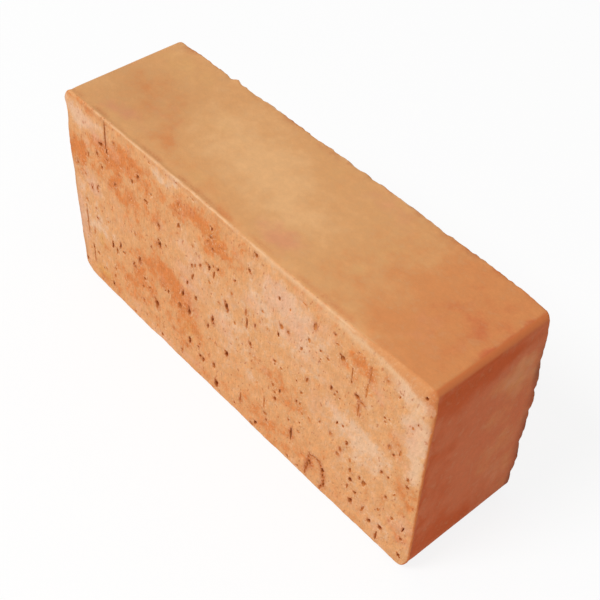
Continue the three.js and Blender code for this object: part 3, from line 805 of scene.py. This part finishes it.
def tearTree():
    # Eggs stand on the marks and on the chance points, and are cut out of the brick.
    tree = bpy.data.node_groups.new("dragTears", "GeometryNodeTree")
    kinds = {
        "Brick": "Geometry", "Marks": "Object", "Tears per m2": "Float", "Least Width": "Float",
        "Most Width": "Float", "Lean": "Float", "Sway": "Float", "Front Share": "Float",
        "Front Size": "Float", "Ragged": "Float", "Seed": "Int", "Torn Clay": "Material",
    }
    for name, kind in kinds.items():
        tree.interface.new_socket(name=name, in_out="INPUT", socket_type="NodeSocket" + kind)
    tree.interface.new_socket(name="Torn Brick", in_out="OUTPUT", socket_type="NodeSocketGeometry")
    kit = Kit(tree)
    given = tree.nodes.new("NodeGroupInput").outputs
    asked = {name: Value(kit, given[name]) for name in kinds}

    normal = kit.node("GeometryNodeInputNormal")
    sideways = kit.node("ShaderNodeSeparateXYZ", None, normal, out=1)
    square, greater = sideways.maths("ABSOLUTE", sideways), dict(operation="GREATER_THAN")
    isCut = kit.node("FunctionNodeCompare", greater, square, chanceTears["squarely"])
    isBack = kit.node("FunctionNodeCompare", greater, sideways, 0.0)
    place = kit.node("GeometryNodeInputPosition")
    chance = chancePoints(kit, asked, place, isCut, isBack)
    marks = kit.node("GeometryNodeObjectInfo", None, asked["Marks"], out=4)
    marks = kit.node("GeometryNodeMeshToPoints", None, marks)
    both = kit.joined(marks, chance)

    eggs = [raggedEgg(kit, place, kind, asked["Ragged"]) for kind in range(tearShapes["kinds"])]
    lean = kit.node("GeometryNodeInputNamedAttribute", dict(data_type="FLOAT"), Name="tearLean")
    turn = kit.node("ShaderNodeCombineXYZ", None, 0.0, lean, 0.0)
    size = kit.node("GeometryNodeInputNamedAttribute", dict(data_type="FLOAT_VECTOR"), Name="tearSize")
    seed = asked["Seed"] + chanceTears["pickSeed"]
    pick = kit.node("FunctionNodeRandomValue", dict(data_type="INT"), out=2, Seed=seed)
    mostOfInt = 5                        # the socket for the highest whole number
    pick.socket.node.inputs[mostOfInt].default_value = tearShapes["kinds"] - 1
    eggs = kit.joined(*eggs)
    cutters = kit.node("GeometryNodeInstanceOnPoints", None, both, Instance=eggs, Rotation=turn, Scale=size)
    cutters.socket.node.inputs["Pick Instance"].default_value = True
    kit.plug(cutters.socket.node.inputs["Instance Index"], pick)

    torn = tree.nodes.new("GeometryNodeMeshBoolean")
    torn.operation, torn.solver = "DIFFERENCE", "MANIFOLD"
    kit.plug(torn.inputs["Mesh 1"], asked["Brick"])
    kit.plug(torn.inputs["Mesh 2"], cutters)
    whole = kit.node("GeometryNodeRealizeInstances", None, Value(kit, torn.outputs[0]))
    isTorn = kit.node("GeometryNodeInputNamedAttribute", dict(data_type="BOOLEAN"), Name="isTorn")
    whole = kit.node("GeometryNodeSetMaterial", None, whole, Selection=isTorn, Material=asked["Torn Clay"])
    end = tree.nodes.new("NodeGroupOutput")
    kit.plug(end.inputs[0], whole)
    return tree


def plainMesh(source, name):
    # The evaluated mesh of an object, with its modifiers applied, as an object of its own.
    graph = bpy.context.evaluated_depsgraph_get()
    mesh = bpy.data.meshes.new_from_object(source.evaluated_get(graph))
    mesh.name = name
    made = bpy.data.objects.new(name, mesh)
    bpy.context.scene.collection.objects.link(made)
    return made


def sealMesh(piece, closest=0.002):
    # Where two tears cross they leave points a micron apart. These are merged, and all faces made triangles.
    made = bmesh.new()
    made.from_mesh(piece.data)
    bmesh.ops.remove_doubles(made, verts=made.verts, dist=closest / metre)
    bmesh.ops.triangulate(made, faces=[face for face in made.faces if len(face.verts) > 3])
    made.to_mesh(piece.data)
    made.free()


def tearBrick(body, form, material):
    points = markPoints(form)
    tears = body.modifiers.new("dragTears", "NODES")
    tears.node_group = tearTree()
    look = chanceTears
    settings = {
        "Marks": points, "Tears per m2": float(look["perSquareMetre"]), "Lean": look["lean"],
        "Sway": look["sway"], "Front Share": look["frontShare"], "Front Size": look["frontSize"],
        "Least Width": look["leastWidth"] / metre, "Most Width": look["mostWidth"] / metre,
        "Ragged": tearShapes["ragged"], "Seed": look["seed"], "Torn Clay": material,
    }
    for item in tears.node_group.interface.items_tree:
        if item.name in settings:
            tears[item.identifier] = settings[item.name]
    piece = plainMesh(body, "clayBrick")
    sealMesh(piece)
    bpy.data.objects.remove(body)
    bpy.data.objects.remove(points)
    return piece


class Surface:
    # Every vertex of the brick: where it is in millimetres, how it faces, and how far off the tears are.
    def __init__(self, mesh, form):
        count = len(mesh.vertices)
        places, normals = np.empty(count * 3), np.empty(count * 3)
        mesh.vertices.foreach_get("co", places)
        mesh.vertices.foreach_get("normal", normals)
        self.form, self.places = form, places.reshape(-1, 3) * metre
        self.x, self.y, self.z = self.places.T
        self.nx, self.ny, self.nz = normals.reshape(-1, 3).T
        self.half = form["thickness"] / 2
        self.fromFront, self.fromBack = self.y + self.half, self.half - self.y
        self.onFront = self.y < 0
        self.near = pressedNearness(form, self.x, self.z)
        self.fromTear = self.nearestTear(mesh)
        self.atRim = self.rimShare()

    def nearestTear(self, mesh):
        torn = sorted({i for face in mesh.polygons if face.material_index == tornSlot for i in face.vertices})
        tree = kdtree.KDTree(len(torn))
        for i in torn:
            tree.insert(mesh.vertices[i].co, i)
        tree.balance()
        return np.array([tree.find(vertex.co)[2] for vertex in mesh.vertices]) * metre

    def rimShare(self):
        # On the cut faces and the underside the rust and the painted edge shade keep to the rim: 1 there and
        # on the skin, less further in.
        flat, width = stains["flatFrom"], self.form["width"]
        inside = np.where(self.nz < -flat, self.half - np.abs(self.y), np.minimum(width - self.z, self.z))
        inside = np.minimum(inside, self.form["length"] / 2 - np.abs(self.x))
        fading = np.exp(-np.maximum(inside, 0) / stains["rimReach"])
        return np.where(np.maximum(np.abs(self.ny), -self.nz) > flat, fading, 1)

    def broken(self, level, swing, size, seed, detail=1, least=0):
        # A noise that lets a line come and go, from the least up to 1.
        return np.clip(level + swing * grain(self.places, size, seed, detail), least, 1)


tones = dict(
    # Patches of the front face: X, height, half width, half height, then how warm (pale below 0) and how pink
    # (straw below 0).
    front=[
        (-106, 110, 20, 8, -0.6, 0.5), (-108, 119.5, 18, 3.5, 0.45, 0), (-118, 88, 9, 11, 0.65, 0),
        (-90, 102, 14, 8, 0.75, 0.2), (-67, 106, 13, 9, 0.5, 0), (-46, 103, 12, 7, 0.15, 0),
        (-25, 106, 20, 7, 0.45, 0), (-8, 104, 8, 12, 0.4, -0.2), (-46, 116, 12, 3.5, -0.5, -0.1),
        (-84, 84, 20, 10, 0.35, 0), (-50, 90, 14, 8, 0.2, 0), (-28, 83, 18, 12, -0.2, 0.1),
        (-104, 71, 11, 8, -0.2, 0.6), (-105, 45, 12, 8, -0.35, 0), (-104, 37, 4, 5, 0.2, -1),
        (-120, 40, 4, 26, -0.1, 0.8), (-72, 74, 13, 11, 0.1, 0), (-50, 53, 14, 8, 0.5, 0),
        (-35, 47, 12, 9, 0.35, 0.2), (-68, 38, 12, 14, 0.3, -0.1), (-82, 23, 14, 12, 0.3, -0.1),
        (-34, 28, 14, 12, 0.3, -0.3), (-104, 9, 12, 7, 0.45, -0.7), (-22, 5, 14, 4, 0.2, 0.2),
        (-22, 66, 12, 12, 0.0, 0.4), (8, 102, 14, 14, 0.2, 0), (20, 90, 10, 8, -0.25, 0.2),
        (42, 101, 20, 10, -0.45, 0.5), (45, 84, 20, 12, -0.2, 0.2), (87, 106, 8, 6, 0.4, 0),
        (75, 98, 4, 5, 0.5, 0.2), (97, 98, 6, 5, 0.3, 0.6), (88, 78, 12, 7, 0.15, 0),
        (90, 60, 16, 14, -0.45, 0.1), (113, 76, 8, 9, 0.4, 0.1), (118, 52, 7, 9, 0.4, 0.2),
        (40, 48, 16, 9, 0.35, 0), (20, 38, 9, 7, -0.2, 0), (26, 12, 24, 10, 0.25, -0.1),
        (60, 22, 14, 9, 0.1, 0), (100, 15, 12, 12, -0.1, 0.2), (119, 27, 6, 12, 0.25, 0.3),
        (0, 58, 12, 16, -0.25, 0.3), (66, 66, 14, 12, 0.0, 0.2), (113, 112, 12, 5, -0.4, 0.2),
        (116, 92, 8, 17, -0.38, 0.45), (-60, 4, 30, 4, -0.1, 0.3), (120, 76, 3.5, 15, -0.7, 0.2),
    ],
    # The same for the top face along X and Y, and for the right header along Y and up.
    top=[
        (-103, -4, 12, 14, 0.26, -0.1), (-82, -2, 14, 14, 0.24, 0.12), (-72, -14, 14, 8, 0.2, 0.3),
        (-90, -25, 12, 5, 0.05, 0.6), (-118, 0, 6, 24, -0.1, 0.2), (-98, 20, 22, 8, -0.05, -0.5),
        (-56, -21, 9, 8, 0.36, 0), (-44, 6, 24, 14, -0.32, -0.2), (-12, 2, 22, 16, -0.45, 0),
        (-28, -25, 24, 6, 0.25, -0.4), (18, -8, 20, 12, -0.3, 0), (24, -22, 17, 8, -0.1, 0.9),
        (36, 25, 18, 7, 0, 0.5), (8, 24, 16, 7, 0.1, -0.3), (56, -6, 14, 24, 0.1, -0.3),
        (111, 4, 44, 60, 0.72, 0), (100, -14, 18, 14, 0, 0.3), (-2, -31, 9, 2.5, 0.35, -0.2),
        (123.5, 0, 1.6, 60, 0.35, 0),
    ],
    header=[
        (20, 96, 10, 12, -0.35, 0.5), (-2, 82, 16, 26, 0.0, 0.1), (-22, 60, 13, 60, 0.28, 0),
        # The patch at a height of 113.2 darkens and reddens the band under the worn top edge: partly its own
        # colour and partly painted shade.
        (-10, 14, 24, 8, 0.4, 0), (18, 34, 12, 26, -0.05, 0.3), (-10, 113.2, 33, 7.5, 0.75, -0.3),
        (-31, 60, 1.6, 70, 0.3, 0), (-14, 24, 16, 10, 0.3, 0),
    ],
    # How far the patches' outlines wander, in two noises.
    wander=5.0, wanderSize=16, fineWander=1.8, fineWanderSize=5, wanderSeeds=(12.5, 21.3, 33.8), fineSeed=5,
    upHeader=0.3,                        # the share of it that goes up the header
    slowGrain=(45, 17.5, 3), backPinkGrain=(38, 28.5, 2),
    frontTone=0.5, frontSlow=0.1, topTone=0.45, headerTone=1.45,     # between the patches
    # The hidden faces: their tone, how far the slow noise sways it, and the same for pink.
    backTone=(0.5, 0.75), backPink=0.6, leftTone=(1.0, 0.55), leftPink=(0.1, 0.4),
    underTone=(0.6, 0.5), underPink=0.3, underWarmer=0.85, underFrom=(84, 120),
    # How squarely the skin faces down, right and left where each face's tone starts and is whole.
    downFrom=-0.2, rightFrom=(0.84, 0.98), leftFrom=(0.35, 1.0),
    cutFrom=0.72, lipFrom=(1.2, 0.3),    # where the cut clay shows, and how far it comes over the top edges
)


def patches(listed, u, v):
    # How warm and how pink the listed patches make each place.
    warm, pink = 0, 0
    for a, c, b, d, warmth, rose in listed:
        here = hump(0, 1, np.hypot((u - a) / b, (v - c) / d))
        warm, pink = warm + warmth * here, pink + rose * here
    return np.array([warm, pink])


def faceTones(on):
    # How warm and how pink each face is.
    look = tones
    drift = [
        look["wander"] * grain(on.places, look["wanderSize"], seed, 3)
        + look["fineWander"] * grain(on.places, look["fineWanderSize"], seed + look["fineSeed"], 2)
        for seed in look["wanderSeeds"]
    ]
    slow = grain(on.places, *look["slowGrain"])
    front = patches(look["front"], on.x + drift[0], on.z + drift[2]) + [[look["frontTone"]], [0.0]]
    front = front + look["frontSlow"] * slow
    tone, sway = look["backTone"]
    back = np.array([tone + sway * slow, look["backPink"] * grain(on.places, *look["backPinkGrain"])])
    cut = np.where(on.y < 0, front, back)
    top = patches(look["top"], on.x + drift[0], on.y + drift[1]) + [[look["topTone"]], [0.0]]
    tone, sway = look["underTone"]
    warmer = look["underWarmer"] * smooth(*look["underFrom"], on.x)
    under = np.array([tone + sway * slow + warmer, look["underPink"] * slow])
    flats = np.where(on.nz > look["downFrom"], top, under)
    right = patches(look["header"], on.y + drift[1], on.z + look["upHeader"] * drift[2])
    right = right + [[look["headerTone"]], [0.0]]
    left = np.array([mean + sway * slow for mean, sway in (look["leftTone"], look["leftPink"])])
    turned = np.where(on.x > 0, smooth(*look["rightFrom"], on.nx), smooth(*look["leftFrom"], -on.nx))
    skin = flats * (1 - turned) + np.where(on.x > 0, right, left) * turned
    reach, up = look["lipFrom"]
    isCut = (np.abs(on.ny) > look["cutFrom"]) | ((np.abs(on.y) > on.half - reach) & (on.nz > up))
    return np.where(isCut, cut, skin)


# A break lets a line come and go: the level and swing of a noise, then its size, seed, detail and least.
stains = dict(
    flatFrom=0.72, rimReach=1.2,
    halo=0.55, haloReach=0.9, haloBreak=(0.35, 1.3, 13, 3.7, 1, 0.1),
    # Round the arched crack, at this X, height and reach, the stain is stronger and reaches further.
    cracked=(63, 12, 12), crackReach=0.8, crackStain=0.15,
    # Rust along the back arris and the foot, and how far it reaches.
    rust=0.8, backBreak=(-0.05, 2, (7, 7, 9), 6.2, 2), backReach=2.2, footBreak=(0, 2, (6, 6, 6), 16.2, 2),
    footReach=2.5, offFront=0.5,
    # A darker band on the front under its upper edge: how far down, how wide, and from where to where.
    under=0.3, underAt=2.1, underWidth=0.9, underFacing=(-0.8, -0.95), underBreak=(0.5, 1.4, (9, 9, 3), 4.1),
    underAlong=(24, -6),
    # Painted shade in the trough behind the wire's lip.
    trough=0.34, troughAt=2.6, troughWidth=1.2, troughFacing=(0.6, 0.9), troughBreak=(0.5, 1.2, 12, 19.4, 2),
    nearReach=2.4, deepFrom=(0.1, 1.1),
)


def belowEdge(on):
    # How far below the front's upper edge, which dips along its right part.
    form = on.form
    return form["width"] - form["edgeDip"] * smooth(form["dipStart"], form["dipWhole"], on.x) - on.z


def haloStainAndShade(on):
    # The rusty stain round the tears and along edges, a darker band under the front's upper edge, and painted
    # shade in the trough behind the front lip.
    look = stains
    crackX, crackZ, crackSize = look["cracked"]
    cracked = hump(0, crackSize, np.hypot(on.x - crackX, on.z - crackZ)) * on.onFront
    halo = (look["halo"] + look["crackStain"] * cracked) * np.maximum(on.broken(*look["haloBreak"]), cracked)
    halo *= hump(0, 1, on.fromTear / (look["haloReach"] + look["crackReach"] * cracked))
    back = on.broken(*look["backBreak"]) * np.exp(-on.fromBack / look["backReach"])
    foot = on.broken(*look["footBreak"]) * np.exp(-on.z / look["footReach"])
    rust = look["rust"] * np.maximum(back, foot) * on.atRim * (on.y > -on.half + look["offFront"])
    under = hump(look["underAt"], look["underWidth"], belowEdge(on)) * smooth(*look["underFacing"], on.ny)
    under = look["under"] * (under * on.broken(*look["underBreak"])) * on.onFront
    under = under * smooth(*look["underAlong"], on.x)
    trough = hump(look["troughAt"], look["troughWidth"], on.fromFront) * smooth(*look["troughFacing"], on.nz)
    trough = look["trough"] * (trough * (1 - on.near) * on.broken(*look["troughBreak"]))
    return np.maximum(np.maximum(np.maximum(halo, rust), under), trough)


edgeLook = dict(
    # A painted highlight, the pale lip on top behind the front arris: how far back, how wide, and where along
    # X it starts.
    lip=0.9, lipAt=-0.2, lipWidth=0.8, lipFacing=(0.15, 0.5), lipAlong=(-112, -84),
    lipBreak=(0.75, 1.1, 9, 9.4, 2),
    # A painted highlight, the pale line on the front just under that edge.
    line=0.55, lineAt=1.0, lineWidth=1.6, lineFacing=(-0.5, -0.9), lineAlong=(8, 34), lineEnd=(78, 60),
    # A painted highlight, the pale ridge where the pressed corner starts, from the top edge round to the
    # right one.
    ridge=(
        (58, 118.6), (76, 117.9), (90, 117.4), (99.5, 116.8), (104.3, 115.7), (109, 114.4), (112.3, 112.3),
        (115.4, 109.3), (117.3, 105.2), (118.6, 99), (119.4, 92), (120, 84), (120.6, 74), (121.2, 64),
    ),
    ridgeWidth=2.5, ridgeHighlight=0.6, ridgeBreak=0.25, ridgeAlong=(54, 74), ridgeUp=(58, 72),
    ridgeLess=0.45, lessFrom=(116, 112), lessTo=(76, 84),    # it is weaker for a stretch of the right edge
    wobble=(1.1, 7, 44.1, 2), farAside=99.0, frontReach=4, frontFacing=-0.2,
    # The rough strip between the ridge and the edges: how far past the ridge, and from where along X.
    beyondFrom=(0.8, 2.6), beyondAlong=(74, 92), beyondReach=5, beyondX=60,
    skinned=0.85, skinnedUp=(111, 115), rim=0.6, rimUp=(105, 114), rimAlong=(118.5, 122),
    sideRim=0.85, sideFacing=(0.2, 0.65), sideReach=3, sideUp=(116, 106),
    cornerRim=0.8, cornerAt=2, cornerWidth=1.3, cornerFacing=(0.75, 0.95), cornerUp=(96, 110),
    # Painted light on the worn strip between the top and the right header.
    facet=0.9, facetRight=(0.35, 0.6), facetLess=(0.99, 0.88), facetUp=(0.1, 0.3), facetWithin=8,
)


def pastRidge(on):
    # How far each vertex is past the ridge, on the side of the pressed corner, and below 0 on the other.
    look = edgeLook
    aside = np.full(len(on.x), look["farAside"])
    outside = np.zeros(len(on.x), bool)
    ridge = np.array(look["ridge"])
    for start, end in zip(ridge, ridge[1:]):
        along = end - start
        acrossX, acrossZ = on.x - start[0], on.z - start[1]
        share = np.clip((acrossX * along[0] + acrossZ * along[1]) / (along @ along), 0, 1)
        gap = np.hypot(acrossX - share * along[0], acrossZ - share * along[1])
        isLeft = along[0] * acrossZ - along[1] * acrossX > 0
        outside = np.where(gap < aside, isLeft, outside)
        aside = np.minimum(aside, gap)
    swing, *wobbleGrain = look["wobble"]
    return np.where(outside, aside, -aside) + swing * grain(on.places, *wobbleGrain)


def edgeMarksAndPaintedLight(on):
    # The painted highlights of the lips, the line and the ridge, the rough strips of the pressed corner and
    # of the front's right edge, and painted light on the worn strip at the top right edge.
    look = edgeLook
    ragged, x, z = on.broken(*look["lipBreak"]), on.x, on.z
    lip = look["lip"] * hump(look["lipAt"], look["lipWidth"], on.fromFront)
    lip = lip * smooth(*look["lipFacing"], on.nz) * ragged * (1 - on.near) * smooth(*look["lipAlong"], x)
    line = look["line"] * hump(look["lineAt"], look["lineWidth"], belowEdge(on))
    line = line * smooth(*look["lineFacing"], on.ny) * on.onFront
    line = line * smooth(*look["lineAlong"], x) * smooth(*look["lineEnd"], x)
    past = pastRidge(on)
    isFront = (on.fromFront < look["frontReach"]) & (on.ny < look["frontFacing"])
    fades = smooth(*look["ridgeAlong"], x) * smooth(*look["ridgeUp"], z)
    less = look["ridgeLess"] * smooth(*look["lessFrom"], z) * smooth(*look["lessTo"], z)
    ridge = look["ridgeHighlight"] * (1 - less) * hump(0, look["ridgeWidth"], past)
    ridge = ridge * fades * isFront * np.clip(ragged + look["ridgeBreak"], 0, 1)
    lip = np.maximum(np.maximum(lip, line), ridge)

    beyond = smooth(*look["beyondFrom"], past) * smooth(*look["beyondAlong"], x)
    beyond = beyond * (on.fromFront < look["beyondReach"]) * (x > look["beyondX"])
    skinned = look["skinned"] * beyond * smooth(*look["skinnedUp"], z)
    rim = look["rim"] * beyond * smooth(*look["rimUp"], z) * smooth(*look["rimAlong"], x)
    side = look["sideRim"] * smooth(*look["sideFacing"], on.nx) * (on.fromFront < look["sideReach"])
    side = side * smooth(*look["sideUp"], z)
    corner = look["cornerRim"] * hump(0, look["cornerWidth"], on.fromFront - look["cornerAt"])
    corner = corner * smooth(*look["cornerFacing"], on.nx) * smooth(*look["cornerUp"], z)
    rim = np.maximum(np.maximum(rim, side), corner)
    facet = look["facet"] * smooth(*look["facetRight"], on.nx) * smooth(*look["facetLess"], on.nx)
    facet = facet * smooth(*look["facetUp"], on.nz) * (x > on.form["length"] / 2 - look["facetWithin"])
    return dict(lip=lip, skinned=skinned, rim=rim, facet=facet)


paintedShadeLook = dict(
    headerFrom=(6, 3),                   # how far inside the right end the header starts, and is whole
    # Painted shade as a dark line along the header's back arris.
    arrisReach=1.6, arrisBack=(0.12, 0.5), arrisRight=(0.1, 0.35), arrisUp=(121, 110),
    arrisBreak=(0.8, 1.6, 9, 51.3, 2),
    # The painted shade along the foot of the header, and along the back edge of the top.
    footFrom=2, footReach=1.8, footFacing=(0.3, 0.8), footBreak=(0.3, 1.8, 6, 61.3, 2),
    top=0.8, topReach=0.9, topFacing=(0.5, 0.9), topBreak=(0, 1.8, 7, 71.3, 2), topAlong=(-60, 20),
    offFront=0.6,                        # no edge shade is painted this near the front
    # Broader painted shade: along the header's back edge and its foot, on the left front edge, and a cloud on
    # top.
    patchy=(0.75, 0.6, 11, 81.3, 2),
    shadeBack=0.85, backFrom=(6.5, 2.0), backUp=(110, 98),
    shadeFoot=0.6, sootFootFrom=(7, 2), shadeOffFront=1.5,
    shadeLeft=0.3, leftFrom=(4, 1), leftBack=(3, 1),
    shadeTop=0.22, cloud=(-92, -8, 36, 26), cloudFacing=(0.3, 0.8),
)


def paintedShadeMarks(on):
    # Painted shade: dark lines along the header's back arris and foot and the top's back edge, and broader
    # shade by the header's back edge and foot, on the left front edge and a cloud on top.
    look = paintedShadeLook
    x, y, z, end = on.x, on.y, on.z, on.form["length"] / 2
    onHeader = smooth(end - look["headerFrom"][0], end - look["headerFrom"][1], x)
    arris = np.maximum(np.exp(-on.fromBack / look["arrisReach"]), smooth(*look["arrisBack"], on.ny))
    arris = arris * smooth(*look["arrisRight"], on.nx)
    paintedEdgeShade = arris * onHeader * smooth(*look["arrisUp"], z) * on.broken(*look["arrisBreak"])
    foot = np.exp(-np.maximum(0, z - look["footFrom"]) / look["footReach"])
    foot = foot * smooth(*look["footFacing"], on.nx) * on.broken(*look["footBreak"])
    top = np.exp(-on.fromBack / look["topReach"]) * smooth(*look["topFacing"], on.nz)
    top = top * on.broken(*look["topBreak"]) * smooth(*look["topAlong"], x)
    paintedEdgeShade = np.maximum(np.maximum(paintedEdgeShade, foot), look["top"] * top)
    paintedEdgeShade = paintedEdgeShade * on.atRim * (y > -on.half + look["offFront"])

    level, swing, *patchyGrain = look["patchy"]
    patchy = level + swing * grain(on.places, *patchyGrain)
    back = look["shadeBack"] * smooth(*look["backFrom"], on.fromBack) * onHeader
    back = back * smooth(*look["backUp"], z) * patchy * on.atRim
    foot = look["shadeFoot"] * smooth(*look["sootFootFrom"], z) * onHeader * patchy
    foot = foot * (y > look["shadeOffFront"] - on.half)
    left = look["shadeLeft"] * smooth(*look["leftFrom"], x + end) * smooth(*look["leftBack"], on.fromFront)
    atX, atY, reachX, reachY = look["cloud"]
    cloud = look["shadeTop"] * hump(0, 1, np.hypot((x - atX) / reachX, (y - atY) / reachY))
    cloud = cloud * smooth(*look["cloudFacing"], on.nz)
    paintedShade = np.maximum(np.maximum(np.maximum(back, foot), left), cloud)
    return dict(paintedEdgeShade=paintedEdgeShade, paintedShade=np.clip(paintedShade, 0, 1))


def toneTheClay(piece, form):
    # The tones and marks of the clay, as values at each vertex that the materials read.
    mesh = piece.data
    on = Surface(mesh, form)
    tone, pink = faceTones(on)
    named = dict(tone=tone, pink=pink, halo=haloStainAndShade(on), **edgeMarksAndPaintedLight(on), **paintedShadeMarks(on))
    named["near"] = hump(0, stains["nearReach"], on.fromTear)
    # How deep below its face a point of a tear lies, which paints it darker: partly darker clay and partly
    # painted shade.
    named["deep"] = smooth(*stains["deepFrom"], np.minimum(on.fromFront, on.fromBack))
    order = ("tone", "pink", "halo", "lip", "near", "skinned", "rim", "deep", "paintedEdgeShade", "paintedShade", "facet")
    for name in order:
        layer = mesh.attributes.new(name, "FLOAT", "POINT")
        layer.data.foreach_set("value", named[name].astype(np.float32))


def meshNumbers(items, name, kind=float, width=1):
    # One value of every item of a mesh, or a row of them.
    values = np.empty(len(items) * width, kind)
    items.foreach_get(name, values)
    return values.reshape(-1, width) if width > 1 else values


def unwrapFlat(piece, form):
    # Each face of the brick is laid flat in its own place on the map, so nothing is stretched.
    mesh = piece.data
    length, width, thick = form["length"], form["width"], form["thickness"]
    gap = 4.0                            # between the places, in millimetres
    side = 2 * width + 2 * thick + 5 * gap
    rows = [gap, 2 * gap + width, 3 * gap + 2 * width, 4 * gap + 2 * width + thick]
    layer = mesh.uv_layers.new(name="OFBake")
    corners = meshNumbers(mesh.loops, "vertex_index", int)
    places = meshNumbers(mesh.vertices, "co", width=3)[corners] * metre
    starts = meshNumbers(mesh.polygons, "loop_start", int)
    sizes = meshNumbers(mesh.polygons, "loop_total", int)
    normals = meshNumbers(mesh.polygons, "normal", width=3)
    slots = meshNumbers(mesh.polygons, "material_index", int)
    owner = np.repeat(np.arange(len(sizes)), sizes)
    order = np.empty(len(corners), int)
    order[np.concatenate([np.arange(s, s + n) for s, n in zip(starts, sizes)])] = owner
    nx, _, nz = normals[order].T
    x, y, z = places.T
    middle = np.zeros(len(sizes))
    np.add.at(middle, order, y)
    cut = (slots != skinSlot)[order]
    front = (middle / sizes < 0)[order]
    onEnd = np.abs(nx) > np.abs(nz)
    u = np.where(cut, np.where(front, x, -x) + length / 2 + gap, 0.0)
    v = np.where(cut, z + np.where(front, rows[0], rows[1]), 0.0)
    flat, ends = ~cut & ~onEnd, ~cut & onEnd
    u[flat] = (x + length / 2 + gap)[flat]
    v[flat] = (y + thick / 2 + np.where(nz > 0, rows[2], rows[3]))[flat]
    u[ends] = (y + thick / 2 + length + 2 * gap)[ends]
    v[ends] = (z + np.where(nx > 0, rows[0], rows[1]))[ends]
    layer.data.foreach_set("uv", (np.stack([u, v], 1) / side).ravel())


def makeBrick():
    # The body is roughened and settled, then torn, and last toned and unwrapped.
    form = brickForm
    places, normals, faces, slots = brickBody(form)
    places = settled(form, roughened(form, places, normals), normals)
    mesh = bpy.data.meshes.new("clayBrick")
    mesh.from_pydata((places / metre).tolist(), [], faces)
    mesh.update()
    body = bpy.data.objects.new("brickBody", mesh)
    bpy.context.scene.collection.objects.link(body)
    wireCut, dieSkin, torn = wireCutClay(), dieSkinClay(), tornClay()
    for material in (wireCut, dieSkin):  # the torn clay comes with the tears
        mesh.materials.append(material)
    mesh.polygons.foreach_set("material_index", slots)
    print("body:", len(mesh.vertices), "vertices,", sum(len(f) - 2 for f in faces), "triangles")

    piece = tearBrick(body, form, torn)
    print("torn:", len(piece.data.vertices), "vertices, materials", [m.name for m in piece.data.materials])
    piece.data.polygons.foreach_set("use_smooth", [True] * len(piece.data.polygons))
    toneTheClay(piece, form)
    unwrapFlat(piece, form)
    print("brick:", len(piece.data.polygons), "triangles, toned and unwrapped")
    return piece


brick = makeBrick()
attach(brick, "root")
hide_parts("brick")


view = dict(
    place=(0.27835, -0.24453, 0.43339), turn=47.362, height=45.839, roll=2.257,      # metres and degrees
    lens=67.21, sensor=36, nearest=0.01,
)


def makeCamera():
    turn, height, roll = (math.radians(view[k]) for k in ("turn", "height", "roll"))
    back = Vector((math.sin(turn) * math.cos(height), -math.cos(turn) * math.cos(height), math.sin(height)))
    right = Vector((math.cos(turn), math.sin(turn), 0))
    up = back.cross(right)
    across = math.cos(roll) * right + math.sin(roll) * up
    upright = math.cos(roll) * up - math.sin(roll) * right
    camera = bpy.data.objects.new("camera", bpy.data.cameras.new("camera"))
    camera.data.lens, camera.data.sensor_width = view["lens"], view["sensor"]
    camera.data.clip_start = view["nearest"]
    bpy.context.scene.collection.objects.link(camera)
    turned = Matrix((across, upright, back)).transposed().to_4x4()
    camera.matrix_world = Matrix.Translation(view["place"]) @ turned
    bpy.context.scene.camera = camera


lights = dict(
    key=dict(place=(-0.4, -1.5, 2.2), aim=(0, 0, 0.06), size=1.0, power=43.0),
    world=0.48,                          # how bright the sky is, where it isn't seen plainly
    floor=paint(250, 250, 250), whiter=0.85, floorReach=4.0,
)


def seenPlainly(kit):
    # 1 where the camera sees a thing straight on, in a gloss or through glass.
    straight, glossy, through = [
        kit.node("ShaderNodeLightPath", out=f"Is {kind} Ray") for kind in ("Camera", "Glossy", "Transmission")
    ]
    either = straight.maths("MAXIMUM", straight, glossy)
    return either.maths("MAXIMUM", either, through)


def makeLights():
    look = lights["key"]
    key = bpy.data.objects.new("key", bpy.data.lights.new("key", "AREA"))
    key.data.shape, key.data.size, key.data.energy = "DISK", look["size"], look["power"]
    key.location = look["place"]
    key.rotation_euler = (Vector(look["aim"]) - key.location).to_track_quat("-Z", "Y").to_euler()
    bpy.context.scene.collection.objects.link(key)

    world = bpy.data.worlds.new("world")
    bpy.context.scene.world = world
    world.use_nodes = True
    world.node_tree.nodes.clear()
    kit = Kit(world.node_tree)
    strength = lights["world"] + (1 - lights["world"]) * seenPlainly(kit)
    glow = kit.node("ShaderNodeBackground", None, (1, 1, 1, 1), strength)
    kit.node("ShaderNodeOutputWorld", None, glow)


def makeFloor():
    mesh = bpy.data.meshes.new("floor")
    reach = lights["floorReach"]
    corners = [(-reach, -reach, 0), (reach, -reach, 0), (reach, reach, 0), (-reach, reach, 0)]
    mesh.from_pydata(corners, [], [(0, 1, 2, 3)])
    floor = bpy.data.objects.new("floor", mesh)
    bpy.context.scene.collection.objects.link(floor)
    material, kit = newMaterial("paleFloor")
    matt = kit.node("ShaderNodeBsdfDiffuse", None, lights["floor"])
    white = kit.node("ShaderNodeEmission", None, (1, 1, 1, 1), 1.0)
    mix = kit.node("ShaderNodeMixShader", None, seenPlainly(kit) * lights["whiter"], matt, white)
    kit.node("ShaderNodeOutputMaterial", None, mix)
    mesh.materials.append(material)


makeCamera()
makeLights()
makeFloor()
bpy.context.scene.view_settings.view_transform = "Standard"
print("scene: camera, light and floor are in place")
